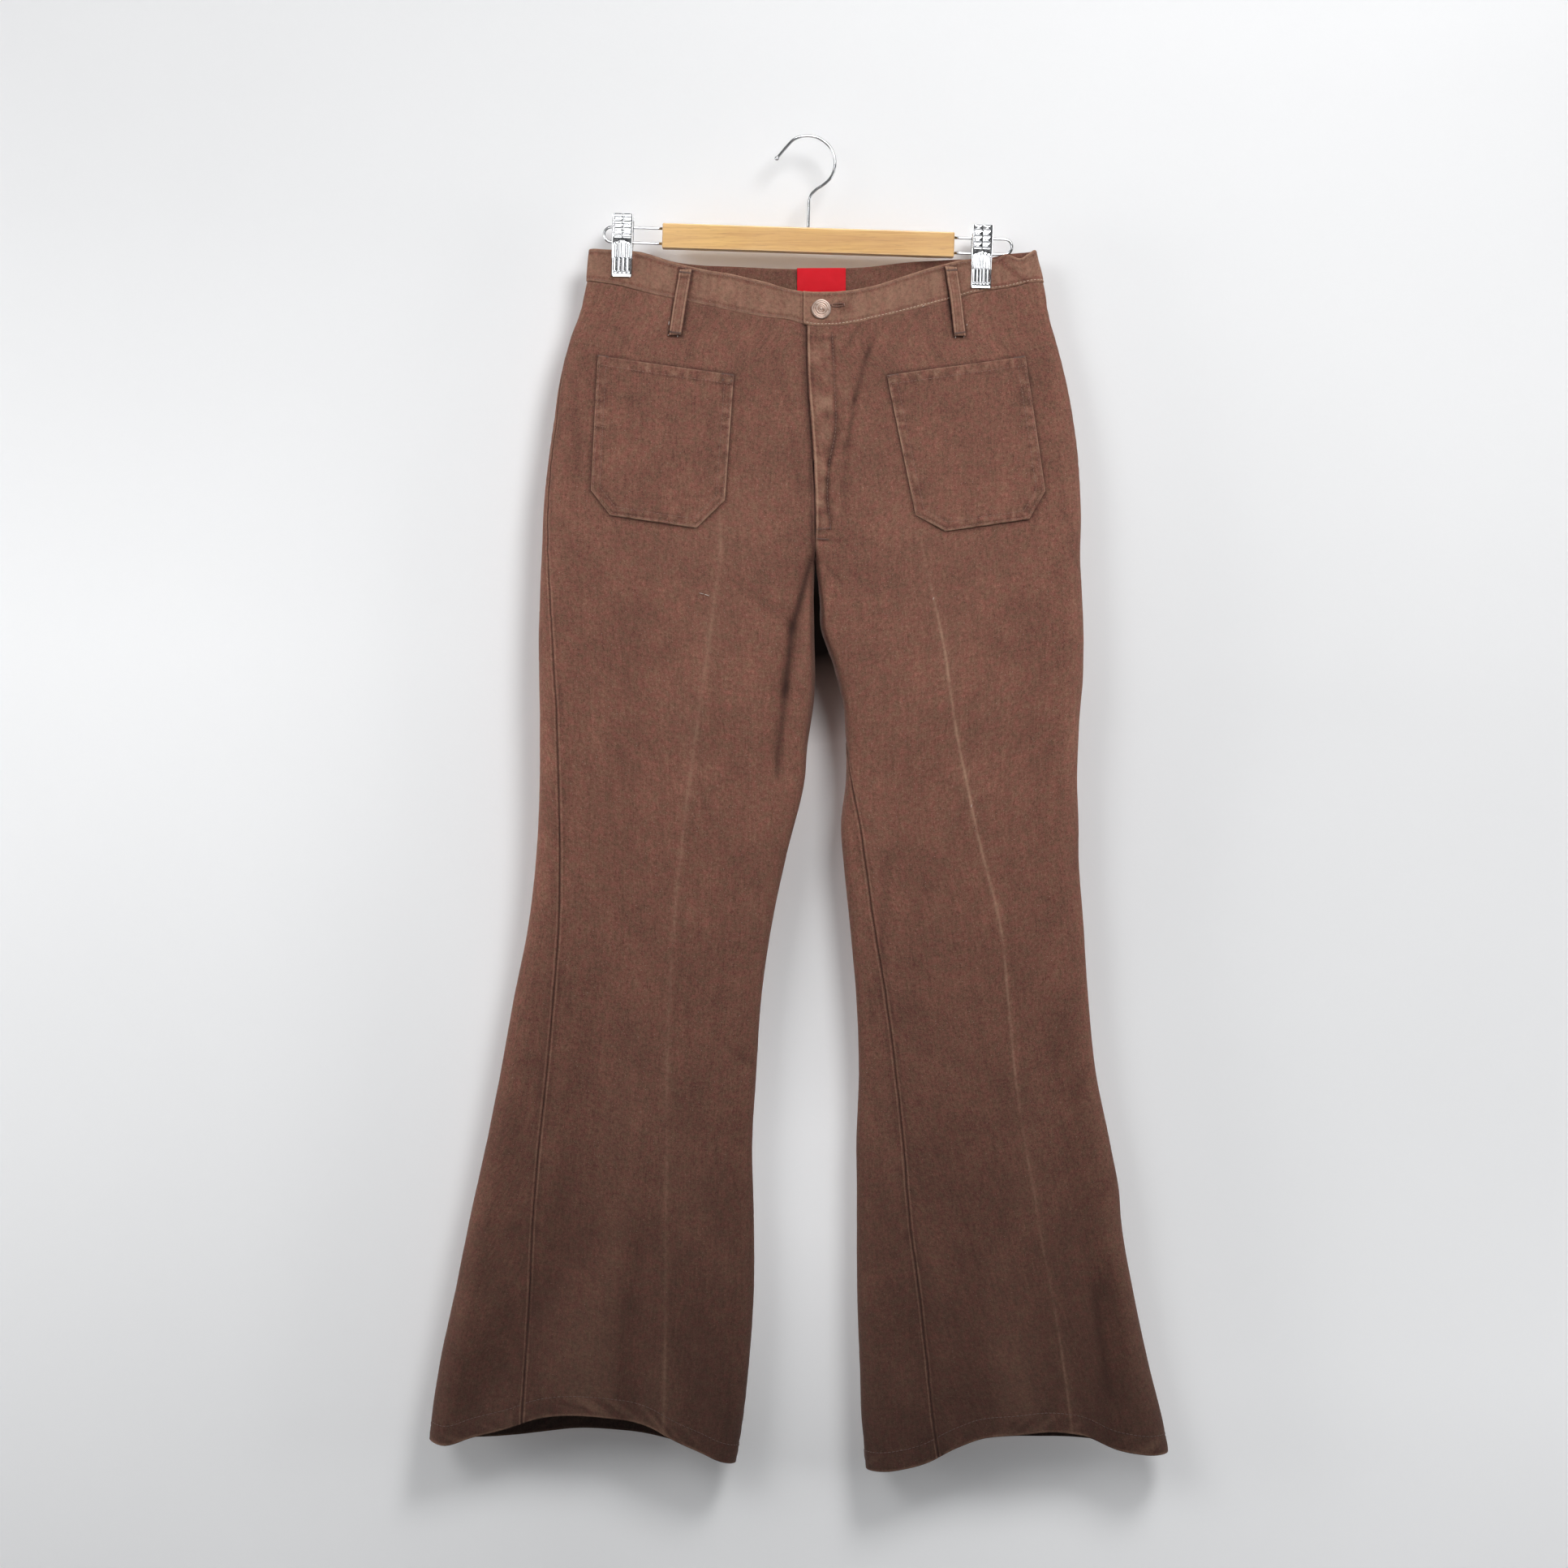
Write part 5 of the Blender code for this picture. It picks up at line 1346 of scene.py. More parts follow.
def build_pocket(side, material):
    """A patch laid over the front: its face at the pocket's lift, its back on the cloth."""
    x, z = pocket_grid(side)
    lift, edge, hem, turned = pocket_lift(side, x, z)
    outer, normal = laid_point("front", x, z, lift)
    inner = outer - normal * (lift - 0.1 * round_edge(edge, 1.0) - 0.12)[..., None]
    distances = outline_distances(side, x, z)
    along = pocket_run(distances, x, z)
    uneven = 0.75 + 0.6 * soft_noise(along / 6, edge / 9, 44)
    bright = distances[list(PALE_EDGES[side])].min(axis=0)
    # Edges rubbed pale; painted shade in lines along the turned edge, under the top hem and inside
    # the sides; painted shade and highlight over the puckers and along the top hem; and the folds'
    # painted shade.
    wear_and_shade = 0.45 * bell(edge, 0.9) * uneven - 0.34 * bell(turned - POCKET_TURN, 1.0) * uneven
    wear_and_shade += 0.75 * bell(bright, 1.0) * uneven
    wear_and_shade -= 0.35 * bell(hem - POCKET_HEM, 1.0) * uneven
    wear_and_shade += 0.42 * pocket_puckers(along, edge) * bell(edge - 5, 5.0)
    wear_and_shade += 0.42 * soft_noise(x / 2.6, 0.4, 45) * bell(hem - 6.5, 3.6)
    wear_and_shade = wear_and_shade - 0.3 * bell(turned - 3.2, 0.8) + fold_shade(side, "front", x, z)
    return shell(f"pocket_{side}_cloth", outer, inner, material, (x, z), wear_and_shade)


# Belt loops

LOOP_LENGTH = 58.0
LOOP_STEPS = (0, 0.3, 0.7, 1.2)


def loop_lift(name, along, across):
    """Height of a loop's face over the cloth: tacked at its ends, slack between them."""
    stand = LOOPS[name][5]
    slack = LOOP_BULGE * np.sin(math.pi * np.clip(along, 0, 1)) ** 0.7
    edge = LOOP_WIDTH * (0.5 - np.abs(across))
    round_off = 0.8 * (1 - round_edge(edge, 1.3))
    ridge = 0.22 * bell(edge - 3.2, 1.2) - 0.18 * bell(edge - 1.7, 0.5)
    from_end = np.minimum(along, 1 - along) * LOOP_LENGTH
    doubled = 0.5 * smooth_step((7 - from_end) / 1.5) - 0.6 * (1 - round_edge(from_end, 1.2))
    wavy = 0.14 * soft_noise(along * 14, across * 2, 51)
    return stand + BAND_PROUD + slack + LOOP_THICK - round_off + ridge + doubled + wavy, edge


def loop_places(name, along, across):
    """The face a loop lies on, and the x and z of places along and across it."""
    face, x0, z0, x1, z1, _ = LOOPS[name]
    x = x0 + (x1 - x0) * along + across * LOOP_WIDTH
    z = z0 + (z1 - z0) * along + 0 * across
    return face, x, z


def build_loop(name, material):
    """A folded strip over the waistband: its face at the loop's lift, its back a strip's
    thickness under it."""
    along = spread(LOOP_LENGTH, BAND_STEPS, BAND_STEPS, 30)[:, None] / LOOP_LENGTH
    across = spread(LOOP_WIDTH, LOOP_STEPS, LOOP_STEPS, 7)[None, :] / LOOP_WIDTH - 0.5
    face, x, z = loop_places(name, along, across)
    lift, edge = loop_lift(name, along + 0 * x, across + 0 * x)
    outer, normal = laid_point(face, x, z, lift)
    thick = LOOP_THICK - 1.5 * 0.8 * (1 - round_edge(edge, 1.3))
    inner = outer - normal * thick[..., None]
    # Edges rubbed pale; painted shade in a dark rim at the edge, in the groove inside it and under
    # the folded top end; a painted highlight on the ridge; and painted shade and highlight over the
    # slack waves.
    wear_and_shade = 0.75 * bell(edge - 0.9, 0.7) + 0.2 * bell(edge - 3.2, 1.0)
    wear_and_shade = wear_and_shade - 0.3 * bell(edge - 2.0, 0.5) - 0.5 * bell(edge, 0.35) + 0.12
    from_top = along * LOOP_LENGTH
    wear_and_shade = wear_and_shade - 0.75 * bell(from_top - 8, 1.0) + 0.35 * bell(from_top - 1, 1.2)
    wear_and_shade += 0.1 * soft_noise(along * 14 + 0 * x, across * 2 + 0 * x, 51)
    return shell(name + "_cloth", outer, inner, material, (x, z), wear_and_shade)


# Sewing


def thread_mesh(name, starts, ends, normals, radius, arch, material):
    """Short thick threads from start to end: four rings of four points, swelling in the middle
    and arched over the cloth by arch * 4 t (1 - t)."""
    starts = np.asarray(starts, float)
    ends = np.asarray(ends, float)
    along = unit(ends - starts)
    side = unit(np.cross(along, normals))
    up = np.cross(side, along)
    t = np.array([0.0, 0.3, 0.7, 1.0])[None, :, None]
    centre = starts[:, None] * (1 - t) + ends[:, None] * t + up[:, None] * arch * 4 * t * (1 - t)
    size = radius * np.array([0.5, 1.0, 1.0, 0.5])[None, :, None, None]
    angle = np.array([0.25, 0.75, 1.25, 1.75]) * math.pi
    ring = (side[:, None, None] * np.cos(angle)[None, None, :, None]
            + up[:, None, None] * np.sin(angle)[None, None, :, None])
    points = centre[:, :, None] + ring * size
    walls = grid_quads(4, 4, wrap=True)
    caps = np.array([[0, 1, 2, 3], [15, 14, 13, 12]])
    one = np.concatenate([walls, caps])
    faces = (one[None] + 16 * np.arange(len(starts))[:, None, None]).reshape(-1, 4)
    return close_mesh(make_mesh(name, points, faces, material))


def stitched(path, normal, length, gap, sink=0.0):
    """Starts, ends and normals of even stitches along a path that lies on the cloth."""
    run = run_length(path)
    count = int((run[-1] + gap) // (length + gap))
    spare = run[-1] + gap - count * (length + gap)
    begin = spare / 2 + np.arange(count) * (length + gap)

    def read(values, at):
        return np.stack([np.interp(at, run, values[:, i]) for i in range(3)], axis=-1)

    out = read(normal, begin + length / 2)
    return (read(path, begin) - out * sink, read(path, begin + length) - out * sink, out)


def joined(parts):
    """Several groups of stitches as one."""
    return [np.concatenate([part[i] for part in parts]) for i in range(3)]


def laid_line(face, corners, lift, spacing=1.0):
    """A path over the cloth through corners given as (x, z), at a height over its surface."""
    corners = np.asarray(corners, float)
    run = run_length(corners)
    at = np.linspace(0, run[-1], max(3, int(run[-1] / spacing)))
    x = np.interp(at, run, corners[:, 0])
    z = np.interp(at, run, corners[:, 1])
    height = lift(x, z) if callable(lift) else np.full(x.shape, float(lift))
    return laid_point(face, x, z, height)


def level_line(surface, distance, level):
    """Where a grid's distance falls through a level, column by column, down its rows."""
    below = (distance < level).argmax(axis=0)
    column = np.arange(distance.shape[1])
    above = np.maximum(below - 1, 0)
    high = distance[above, column]
    low = distance[below, column]
    t = ((high - level) / np.maximum(high - low, 1e-6))[:, None]
    return surface[above, column] * (1 - t) + surface[below, column] * t


def shrunk_outline(side, inset):
    """A pocket's outline moved inwards: each corner along its two edges' normals."""
    corners = np.array(POCKETS[side])
    before = unit(corners - np.roll(corners, 1, axis=0))
    after = unit(np.roll(corners, -1, axis=0) - corners)
    turn = before[:, 0] * after[:, 1] - before[:, 1] * after[:, 0]
    return corners + (after - before) * (inset / -turn)[:, None]


def pocket_stitches(side):
    """One row near the open-sided edges, one along the turned edge inside them, and one under
    the top hem."""
    def lift(x, z):
        return pocket_lift(side, x, z)[0]

    near = shrunk_outline(side, 2.0)
    inner = shrunk_outline(side, POCKET_TURN - 0.8)
    hem = shrunk_outline(side, POCKET_HEM - 0.8)
    round_it = [0, 5, 4, 3, 2, 1]
    past = unit(hem[0] - hem[1]) * 6
    rows = [near[round_it], inner[round_it], np.array([hem[0] + past, hem[1] - past])]
    return joined([stitched(*laid_line("front", row, lift), 2.6, 0.7, 0.1) for row in rows])


def tack(face, x, z, width, height, angle, lift):
    """A bar of close stitches side by side: width along the bar, height across it."""
    at = (np.linspace(-0.5, 0.5, TACK_THREADS) * width)[:, None]
    along = np.array([math.cos(angle), math.sin(angle)])[None]
    across = np.array([-math.sin(angle), math.cos(angle)])[None] * height / 2
    centre = np.array([x, z])[None] + at * along
    start, normal = laid_point(face, *(centre - across).T, lift)
    end, _ = laid_point(face, *(centre + across).T, lift)
    return [start, end, normal]


# Bar tacks: face, x, z, length, height, slope in degrees, lift
TACKS = (
    ("front", -178.5, -195.8, 9.0, 2.2, -8, 1.9),
    ("front", -69.5, -211.9, 10.0, 2.2, -8, 1.9),
    ("front", -69.8, -217.2, 8.5, 1.8, -6, 2.3),
    ("front", 75.3, -212.4, 9.0, 2.2, 8, 1.9),
    ("front", 186.2, -196.4, 9.0, 2.2, 8, 1.9),
    ("front", 15.5, -346.5, 12.0, 2.0, 4, 2.0),
    ("front", 14.0, -355.6, 9.0, 1.6, -6, 1.2),
)
LOOP_TACKS = (0.055, 0.965)
TACK_THREADS = 13

# Small pale ends of thread: face, x, z, length, slope in degrees, lift
SPECKS = (
    ("front", -1.2, -141.8, 1.9, 60, 2.2),
    ("front", -120.6, -166.0, 3.4, 84, 1.1),
    ("front", -120.9, -176.8, 1.8, 20, 1.1),
    ("front", -113.0, -177.6, 2.6, 65, 1.1),
    ("front", 130.2, -178.2, 2.2, 78, 1.1),
    ("front", 137.9, -177.5, 1.8, 70, 1.1),
    ("front", 140.6, -166.8, 1.6, 80, 1.1),
    ("front", 101.8, -151.4, 1.8, 30, 1.6),
    ("front", -92.0, -403.6, 4.0, -14, 0.6),
    ("front", -87.2, -405.0, 4.4, -20, 0.6),
    ("front", 110.5, -408.0, 2.0, 75, 0.6),
    ("front", 143.6, -589.0, 2.6, 80, 0.6),
    ("back", 3.4, -172.0, 2.2, 70, 1.2),
    ("back", 110.0, -164.0, 2.0, 60, 1.2),
)


def speck_threads():
    """Each speck as one short thread lying on the cloth."""
    groups = []
    for face, x, z, length, slope, lift in SPECKS:
        angle = math.radians(slope)
        reach = np.array([-0.5, 0.5]) * length
        points, normal = laid_point(face, x + reach * math.cos(angle), z + reach * math.sin(angle),
                                    lift)
        groups.append([points[:1], points[1:], normal[:1]])
    return joined(groups)


def tack_threads():
    """All the bar tacks: at the pockets, the fly and both ends of every belt loop."""
    groups = []
    for face, x, z, length, height, slope, lift in TACKS:
        groups.append(tack(face, x, z, length, height, math.radians(slope), lift))
    for name in LOOPS:
        face, x0, z0, x1, z1, _ = LOOPS[name]
        for at in LOOP_TACKS:
            place = np.full(1, at)
            lift = float(loop_lift(name, place, 0 * place)[0][0])
            _, x, z = loop_places(name, place, 0 * place)
            angle = math.atan2(z1 - z0, x1 - x0) + math.pi / 2
            groups.append(tack(face, float(x[0]), float(z[0]), LOOP_WIDTH - 1.4, 2.0, angle, lift))
    return joined(groups)


def loop_stitches():
    """Two rows of stitches down each belt loop."""
    groups = []
    along = np.linspace(0.1, 0.9, 50)
    for name in LOOPS:
        for share in (-0.33, 0.33):
            across = np.full(along.shape, share)
            face, x, z = loop_places(name, along, across)
            points, normal = laid_point(face, x, z, loop_lift(name, along, across)[0])
            groups.append(stitched(points, normal, 2.4, 0.8, 0.12))
    return joined(groups)


def fly_stitches():
    """The curved row beside the fly."""
    z = np.linspace(FLY_LINE_ENDS[1] - 3, FLY_LINE_ENDS[0] + 4, 90)
    x = read_table(FLY_LINE, FLY_LINE_COLUMNS, "x", z) + 0.3
    points, normal = laid_point("front", x, z, 0.05)
    return stitched(points, normal, 2.4, 0.9)


def hem_stitches():
    """A row of stitches round each leg above the hem."""
    found = []
    for name in ("front_left", "front_right", "back_left", "back_right"):
        grid = SURFACES[name]
        path = level_line(grid["outer"], grid["to_hem"], HEM_DEPTH)
        normal = level_line(grid["normal"], grid["to_hem"], HEM_DEPTH)
        found.append(stitched(path[2:-2], normal[2:-2], 2.8, 0.8, -0.05))
    return found


def band_line(from_edge, edge, keep):
    """A path along the waistband at a distance from its top or bottom edge."""
    grid = SURFACES["waistband"]
    distance = -grid["down"]
    level = -from_edge
    if edge == "bottom":
        distance = grid["height"][:, None] + distance
        level = from_edge
    path = level_line(grid["outer"].transpose(1, 0, 2), distance.T, level)
    return path[keep], grid["normal"][keep]


def button_profile():
    """Radius and height of the button's turned face, with raised rings."""
    radius = np.concatenate([[0.0], np.linspace(0.3, 7.6, 26), [8.1, 8.45, 8.6, 8.45, 8.0]])
    rings = (0.32 * bell(radius - 5.9, 0.45) + 0.26 * bell(radius - 3.9, 0.4)
             + 0.45 * bell(radius - 7.4, 0.6) + 0.7 * bell(radius, 1.0)
             + 0.2 * bell(radius - 2.3, 0.35))
    height = 2.3 - 0.010 * radius ** 2 + rings
    height[-4:] = (1.75, 1.25, 0.75, 0.45)
    return radius, height


# Hanger


def tilted(points):
    """Points of the upright hanger turned clockwise about the origin."""
    angle = math.radians(TILT)
    x, y, z = np.moveaxis(np.asarray(points, float), -1, 0)
    return np.stack([x * math.cos(angle) + z * math.sin(angle), y,
                     -x * math.sin(angle) + z * math.cos(angle)], axis=-1)


def smooth_path(points, spacing):
    """An even run of points along a smooth curve through the given ones."""
    points = np.asarray(points, float)
    run = run_length(points)
    at = np.linspace(0, run[-1], int(run[-1] / spacing) + 2)
    return np.stack([smooth_read(at, run, points[:, i]) for i in range(points.shape[1])], -1)


def tube_mesh(name, path, radii, material, sides=20):
    """A round bar: a ring of points about each point of a path in the hanger's plane, with its
    two ends closed to a point. Ring offset = radius (cos a across + sin a out of the plane)."""
    along = unit(np.gradient(path, axis=0))
    across = np.stack([-along[:, 2], 0 * along[:, 0], along[:, 0]], axis=-1)
    angle = np.linspace(0, 2 * math.pi, sides, endpoint=False)
    out = np.array([0.0, 1.0, 0.0])
    rings = (path[:, None] + np.asarray(radii)[:, None, None]
             * (np.cos(angle)[None, :, None] * across[:, None]
                + np.sin(angle)[None, :, None] * out))
    count = len(path)
    points = np.concatenate([rings.reshape(-1, 3), path[:1], path[-1:]])
    ring = np.arange(sides)
    tip = count * sides
    ends = np.concatenate([fan(ring, tip), fan(ring + tip - sides, tip + 1)])
    return close_mesh(make_mesh(name, tilted(points), grid_quads(count, sides, wrap=True),
                                material), ends)


def build_rail(side, material):
    """A wire that leaves the bar's end, turns back on itself and returns to it."""
    sign = -1 if side == "left" else 1
    start = BAR_X + sign * (BAR_LENGTH / 2 + 0.3)
    bend = RAIL_SPACING / 2
    turn_x = RAIL_X + sign * (RAIL_REACH - RAIL_WIRE / 2 - bend)
    straight = np.linspace(start, turn_x, 10)[:-1]
    angle = np.linspace(math.pi / 2, -math.pi / 2, 25)
    arc_x = turn_x + sign * bend * np.cos(angle)
    arc_z = BAR_Z + bend * np.sin(angle)
    x = np.concatenate([straight, arc_x, straight[::-1]])
    z = np.concatenate([straight * 0 + BAR_Z + bend, arc_z, straight * 0 + BAR_Z - bend])
    path = np.stack([x, 0 * x, z], axis=-1)
    return tube_mesh(f"rail_{side}_wire", path, np.full(len(path), RAIL_WIRE / 2), material)


def build_hook(material):
    """The hook's wire with its ball tip: the ball is half a circle of radius before the wire."""
    knots = [(x, 0.0, z) for x, z in HOOK[:-1]]
    knots.append((HOOK[-1][0], 0.0, BAR_Z + BAR_HEIGHT / 2 + 0.3))
    path = smooth_path(knots, 1.2)
    toward = unit(path[0] - path[1])
    ball = 2.0
    angle = np.linspace(0.12, math.pi - 0.72, 9)
    lead = path[0] + toward * (1.9 + ball * np.cos(angle))[:, None]
    radii = np.concatenate([ball * np.sin(angle), np.full(len(path), HOOK_WIRE / 2)])
    return tube_mesh("hook_wire", np.concatenate([lead, path]), radii, material)


def jaw_relief(share, z, style):
    """Flutes down the lower part of a jaw, and across its upper part ribs or small pyramids."""
    lower = z < CLIP_BREAK
    count = 4 if style == "ribs" else 5
    phase = np.abs(np.sin(math.pi * count * share)) ** 0.6
    slanted = smooth_step((CLIP_BREAK - 2 - 5 * np.abs(share - 0.5) - z) / 2.5)
    foot = smooth_step((z - CLIP_FOOT - 3.0) / 2)
    flutes = 1.0 * phase * slanted * foot
    t = (z - CLIP_BREAK) / (CLIP_TOP - CLIP_BREAK)
    inside = round_edge(np.minimum(share, 1 - share), 0.09)
    if style == "ribs":
        bars = np.abs(np.sin(math.pi * (3.5 * t + 0.1))) ** 0.7
        split = 1 - bell(share - 0.5, 0.05)
        upper = 0.9 * bars * split * inside
    else:
        rows = np.abs(np.sin(math.pi * 4 * t))
        cells = np.abs(np.sin(math.pi * 2 * share))
        upper = 1.3 * np.minimum(rows, cells) * inside
    return np.where(lower, flutes, upper * smooth_step((z - CLIP_BREAK) / 1.5))


def build_jaw(side, face, material):
    """One pressed steel jaw: a channel with its sides bent back, fluted on the front."""
    centre = CLIP_X[0] if side == "left" else CLIP_X[1]
    sign = -1 if face == "front" else 1
    style = "ribs" if side == "left" else "pyramids"
    profile = np.array(CLIP_PROFILE)
    z = np.linspace(CLIP_TOP, CLIP_FOOT, 110 if face == "front" else 60)
    stand = np.interp(z, profile[::-1, 0], profile[::-1, 1])[:, None]
    half = CLIP_WIDTH / 2
    share = np.linspace(0, 1, 60 if face == "front" else 24)[None, :]
    relief = jaw_relief(share, z[:, None], style) if face == "front" else 0 * (share * stand)
    bent = 1.6
    x_face = -half + bent + (CLIP_WIDTH - 2 * bent) * share + 0 * stand
    high = stand + CLIP_SHEET + relief
    turn = np.linspace(0, math.pi / 2, 7)[:-1][None, :]
    low_edge = np.maximum(stand - CLIP_FLANGE, CLIP_GRIP)
    side_y = low_edge + (stand + CLIP_SHEET - bent - low_edge) * np.linspace(0, 1, 4)[None, :-1]
    side_x = 0 * side_y - half
    round_x = -half + bent * (1 - np.cos(turn)) + 0 * stand
    round_y = stand + CLIP_SHEET - bent + bent * np.sin(turn)
    x_out = np.concatenate([side_x, round_x, x_face, -round_x[:, ::-1], -side_x[:, ::-1]], 1)
    y_out = np.concatenate([side_y, round_y, high, round_y[:, ::-1], side_y[:, ::-1]], 1)
    y_out = np.maximum(y_out, low_edge + 0.05)
    scale = (half - CLIP_SHEET) / half
    x_in = x_out * scale
    y_in = np.minimum(y_out - CLIP_SHEET, stand)
    y_in = np.where(np.abs(x_out) > half - 0.2, y_out, y_in)
    y_in = np.maximum(y_in, low_edge)
    zz = z[:, None] + 0 * x_out
    outer = tilted(np.stack([centre + x_out, sign * y_out, zz], axis=-1))
    inner = tilted(np.stack([centre + x_in, sign * y_in, zz], axis=-1))
    thing = shell(f"clip_{side}_{face}_plate", outer, inner, material)
    thing.data.set_sharp_from_angle(angle=math.radians(50))
    return thing


# Button, buttonhole and label

BUTTON_SIDES = 64
STEM_RADIUS = 2.6
BUTTONHOLE = {"x": 27.0, "z": -150.0, "length": 9.0, "threads": 44}
EDGE_OF_TAPE = (0, 0.2, 0.5)


def build_button(material):
    """A shank button turned from its profile: every ring carried round the axis, with its
    middle closed to one point and its underside flat."""
    radius, height = button_profile()
    angle = np.linspace(0, 2 * math.pi, BUTTON_SIDES, endpoint=False)
    low, high = (np.array(corner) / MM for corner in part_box("shank_button"))
    centre = (low + high) / 2
    count = len(radius) - 1
    x = radius[1:, None] * np.cos(angle)
    z = radius[1:, None] * np.sin(angle)
    back = high[1] - low[1] - 2.7
    y = -height[1:, None] + 0 * x
    base = low[1] + height.max()
    grid = np.stack([centre[0] + x, base + y, centre[2] + z], axis=-1)
    front = np.array([[centre[0], base - height[0], centre[2]]])
    stem = np.stack([centre[0] + STEM_RADIUS * np.cos(angle), 0 * angle + base - 0.4,
                     centre[2] + STEM_RADIUS * np.sin(angle)], axis=-1)
    foot = stem + np.array([0, max(back, 0.3), 0])
    rings = np.concatenate([grid, stem[None], foot[None]])
    faces = grid_quads(count + 2, BUTTON_SIDES, wrap=True)
    points = np.concatenate([rings.reshape(-1, 3), front, foot.mean(axis=0)[None]])
    ring = np.arange(BUTTON_SIDES)
    tip = (count + 2) * BUTTON_SIDES
    ends = np.concatenate([fan(ring, tip), fan(ring + tip - BUTTON_SIDES, tip + 1)])
    # On the button these values hold only the rubbed wear of its rings.
    wear_and_shade = np.clip(np.gradient(height) * -1 + bell(radius - 5.9, 0.4) + bell(radius - 3.9, 0.4)
                   + bell(radius - 7.6, 0.6) + bell(radius, 0.8), 0, 1)
    per_ring = np.concatenate([np.repeat(wear_and_shade[1:], BUTTON_SIDES), np.zeros(2 * BUTTON_SIDES),
                               [1.0, 0.0]])
    return close_mesh(make_mesh("button", points, faces, material, wear_and_shade=per_ring), ends)


def buttonhole_stitches():
    """Close threads standing round the slit like rays, from its edge outwards."""
    half = BUTTONHOLE["length"] / 2
    turn = np.linspace(0, 2 * math.pi, BUTTONHOLE["threads"], endpoint=False)
    x = half * np.clip(1.35 * np.cos(turn), -1, 1)
    start_x = BUTTONHOLE["x"] + x + 0.4 * np.cos(turn)
    start_z = BUTTONHOLE["z"] + 0.45 * np.sin(turn) + x * 0.1
    end_x = start_x + 1.5 * np.cos(turn) * (np.abs(x) > half * 0.9)
    end_z = start_z + 1.7 * np.sin(turn)
    lift = BAND_PROUD + 0.55
    start, normal = laid_point("front", start_x, start_z, lift)
    end, _ = laid_point("front", end_x, end_z, lift)
    return [start, end, normal]


def build_label(material):
    """A woven tape on the inner face of the back of the waistband: a thin slab, a little
    rippled, with rounded edges."""
    across = spread(LABEL_X[1] - LABEL_X[0], EDGE_OF_TAPE, EDGE_OF_TAPE, 28)[None]
    down = spread(LABEL_HEIGHT, EDGE_OF_TAPE, EDGE_OF_TAPE, 20)[:, None]
    x = LABEL_X[0] + across + 0 * down
    z = LABEL_TOP - down + 0 * across
    edge = np.minimum(np.minimum(across, across[:, -1:] - across),
                      np.minimum(down, down[-1:] - down))
    inside = BAND_PROUD - BAND_WALL - LAY_GAP
    wave = 0.16 * soft_noise(x / 9, z / 12, 61) + 0.25 * (1 - round_edge(edge, 0.4))
    over, normal = laid_point("back", x, z, inside - 0.75 + wave)
    under = over + normal * (0.6 - 0.4 * (1 - round_edge(edge, 0.4)))[..., None]
    return shell("label_tape", over, under, material, (x, z), 0 * x)


# Property groups, operators and the panel


def colour_setting(name, description, default):
    """A colour to choose in the sidebar."""
    return bpy.props.FloatVectorProperty(name=name, description=description, default=default,
                                         size=3, subtype="COLOR", min=0, max=1)


def length_setting(name, description, default):
    """A length to choose in the sidebar."""
    return bpy.props.FloatProperty(name=name, description=description, default=default,
                                   unit="LENGTH", subtype="DISTANCE")


class ClothSettings(bpy.types.PropertyGroup):
    """Colours of the denim and its thread"""

    denim_dark: colour_setting("Dark fibre", "Colour of the dark fibres in the denim",
                               (0.116, 0.046, 0.031))
    denim_light: colour_setting("Light fibre", "Colour of the light fibres in the denim",
                               (0.278, 0.128, 0.090))
    denim_fleck: colour_setting("Fleck", "Colour of the pale flecks",
                               (0.42, 0.30, 0.26))
    # The pale colour for rubbed wear, used also for painted highlights.
    denim_worn_and_highlight: colour_setting("Worn", "Colour where the cloth is rubbed pale",
                               (0.39, 0.232, 0.155))
    # The dark colour for painted shade in grooves, fold troughs and beside raised parts, partly
    # also less faded cloth in the seam grooves.
    denim_shade: colour_setting("Groove", "Colour in the seam grooves",
                               (0.045, 0.018, 0.013))
    thread_brown: colour_setting("Brown thread", "Colour of the thread that matches the cloth",
                               (0.235, 0.115, 0.078))
    thread_dark: colour_setting("Dark thread", "Colour of the bar tacks",
                               (0.110, 0.055, 0.040))
    thread_white: colour_setting("Thread ends", "Colour of the loose pale ends of thread",
                               (0.62, 0.52, 0.46))
    thread_pale: colour_setting("Pale thread", "Colour of the faded thread under the waistband",
                               (0.62, 0.47, 0.34))


class HangerSettings(bpy.types.PropertyGroup):
    """Colours of the bar and polish of the metal"""

    wood_dark: colour_setting("Dark grain", "Colour of the dark growth bands",
                               (0.50, 0.245, 0.062))
    wood_light: colour_setting("Light grain", "Colour of the pale wood",
                               (0.76, 0.455, 0.130))
    chrome_roughness: bpy.props.FloatProperty(
        name="Polish", description="Roughness of the plated wire and clips",
        default=0.10, min=0, max=1, subtype="FACTOR")


class StageSettings(bpy.types.PropertyGroup):
    """Places of the backdrop and strength of the light"""

    wall_distance: length_setting("Wall distance", "Distance of the backdrop behind the hanger",
                                  0.032)
    wall_width: length_setting("Wall width", "Width of the backdrop", 3.1)
    floor_height: length_setting("Floor height", "Height of the floor", -1.32)
    key_power: bpy.props.FloatProperty(
        name="Key light", description="Power of the main light", default=20.5, min=0,
        unit="POWER")
    world_strength: bpy.props.FloatProperty(
        name="Ambient light", description="Strength of the pale surroundings",
        default=0.20, min=0)


def settings():
    """The cloth's settings in this scene."""
    return bpy.context.scene.trousers_cloth


def found_material(name, make):
    """The named material, made once."""
    return bpy.data.materials.get(name) or make(name)


def denim():
    """The denim, made once."""
    return found_material("brown_denim", lambda name: denim_material(name, settings()))


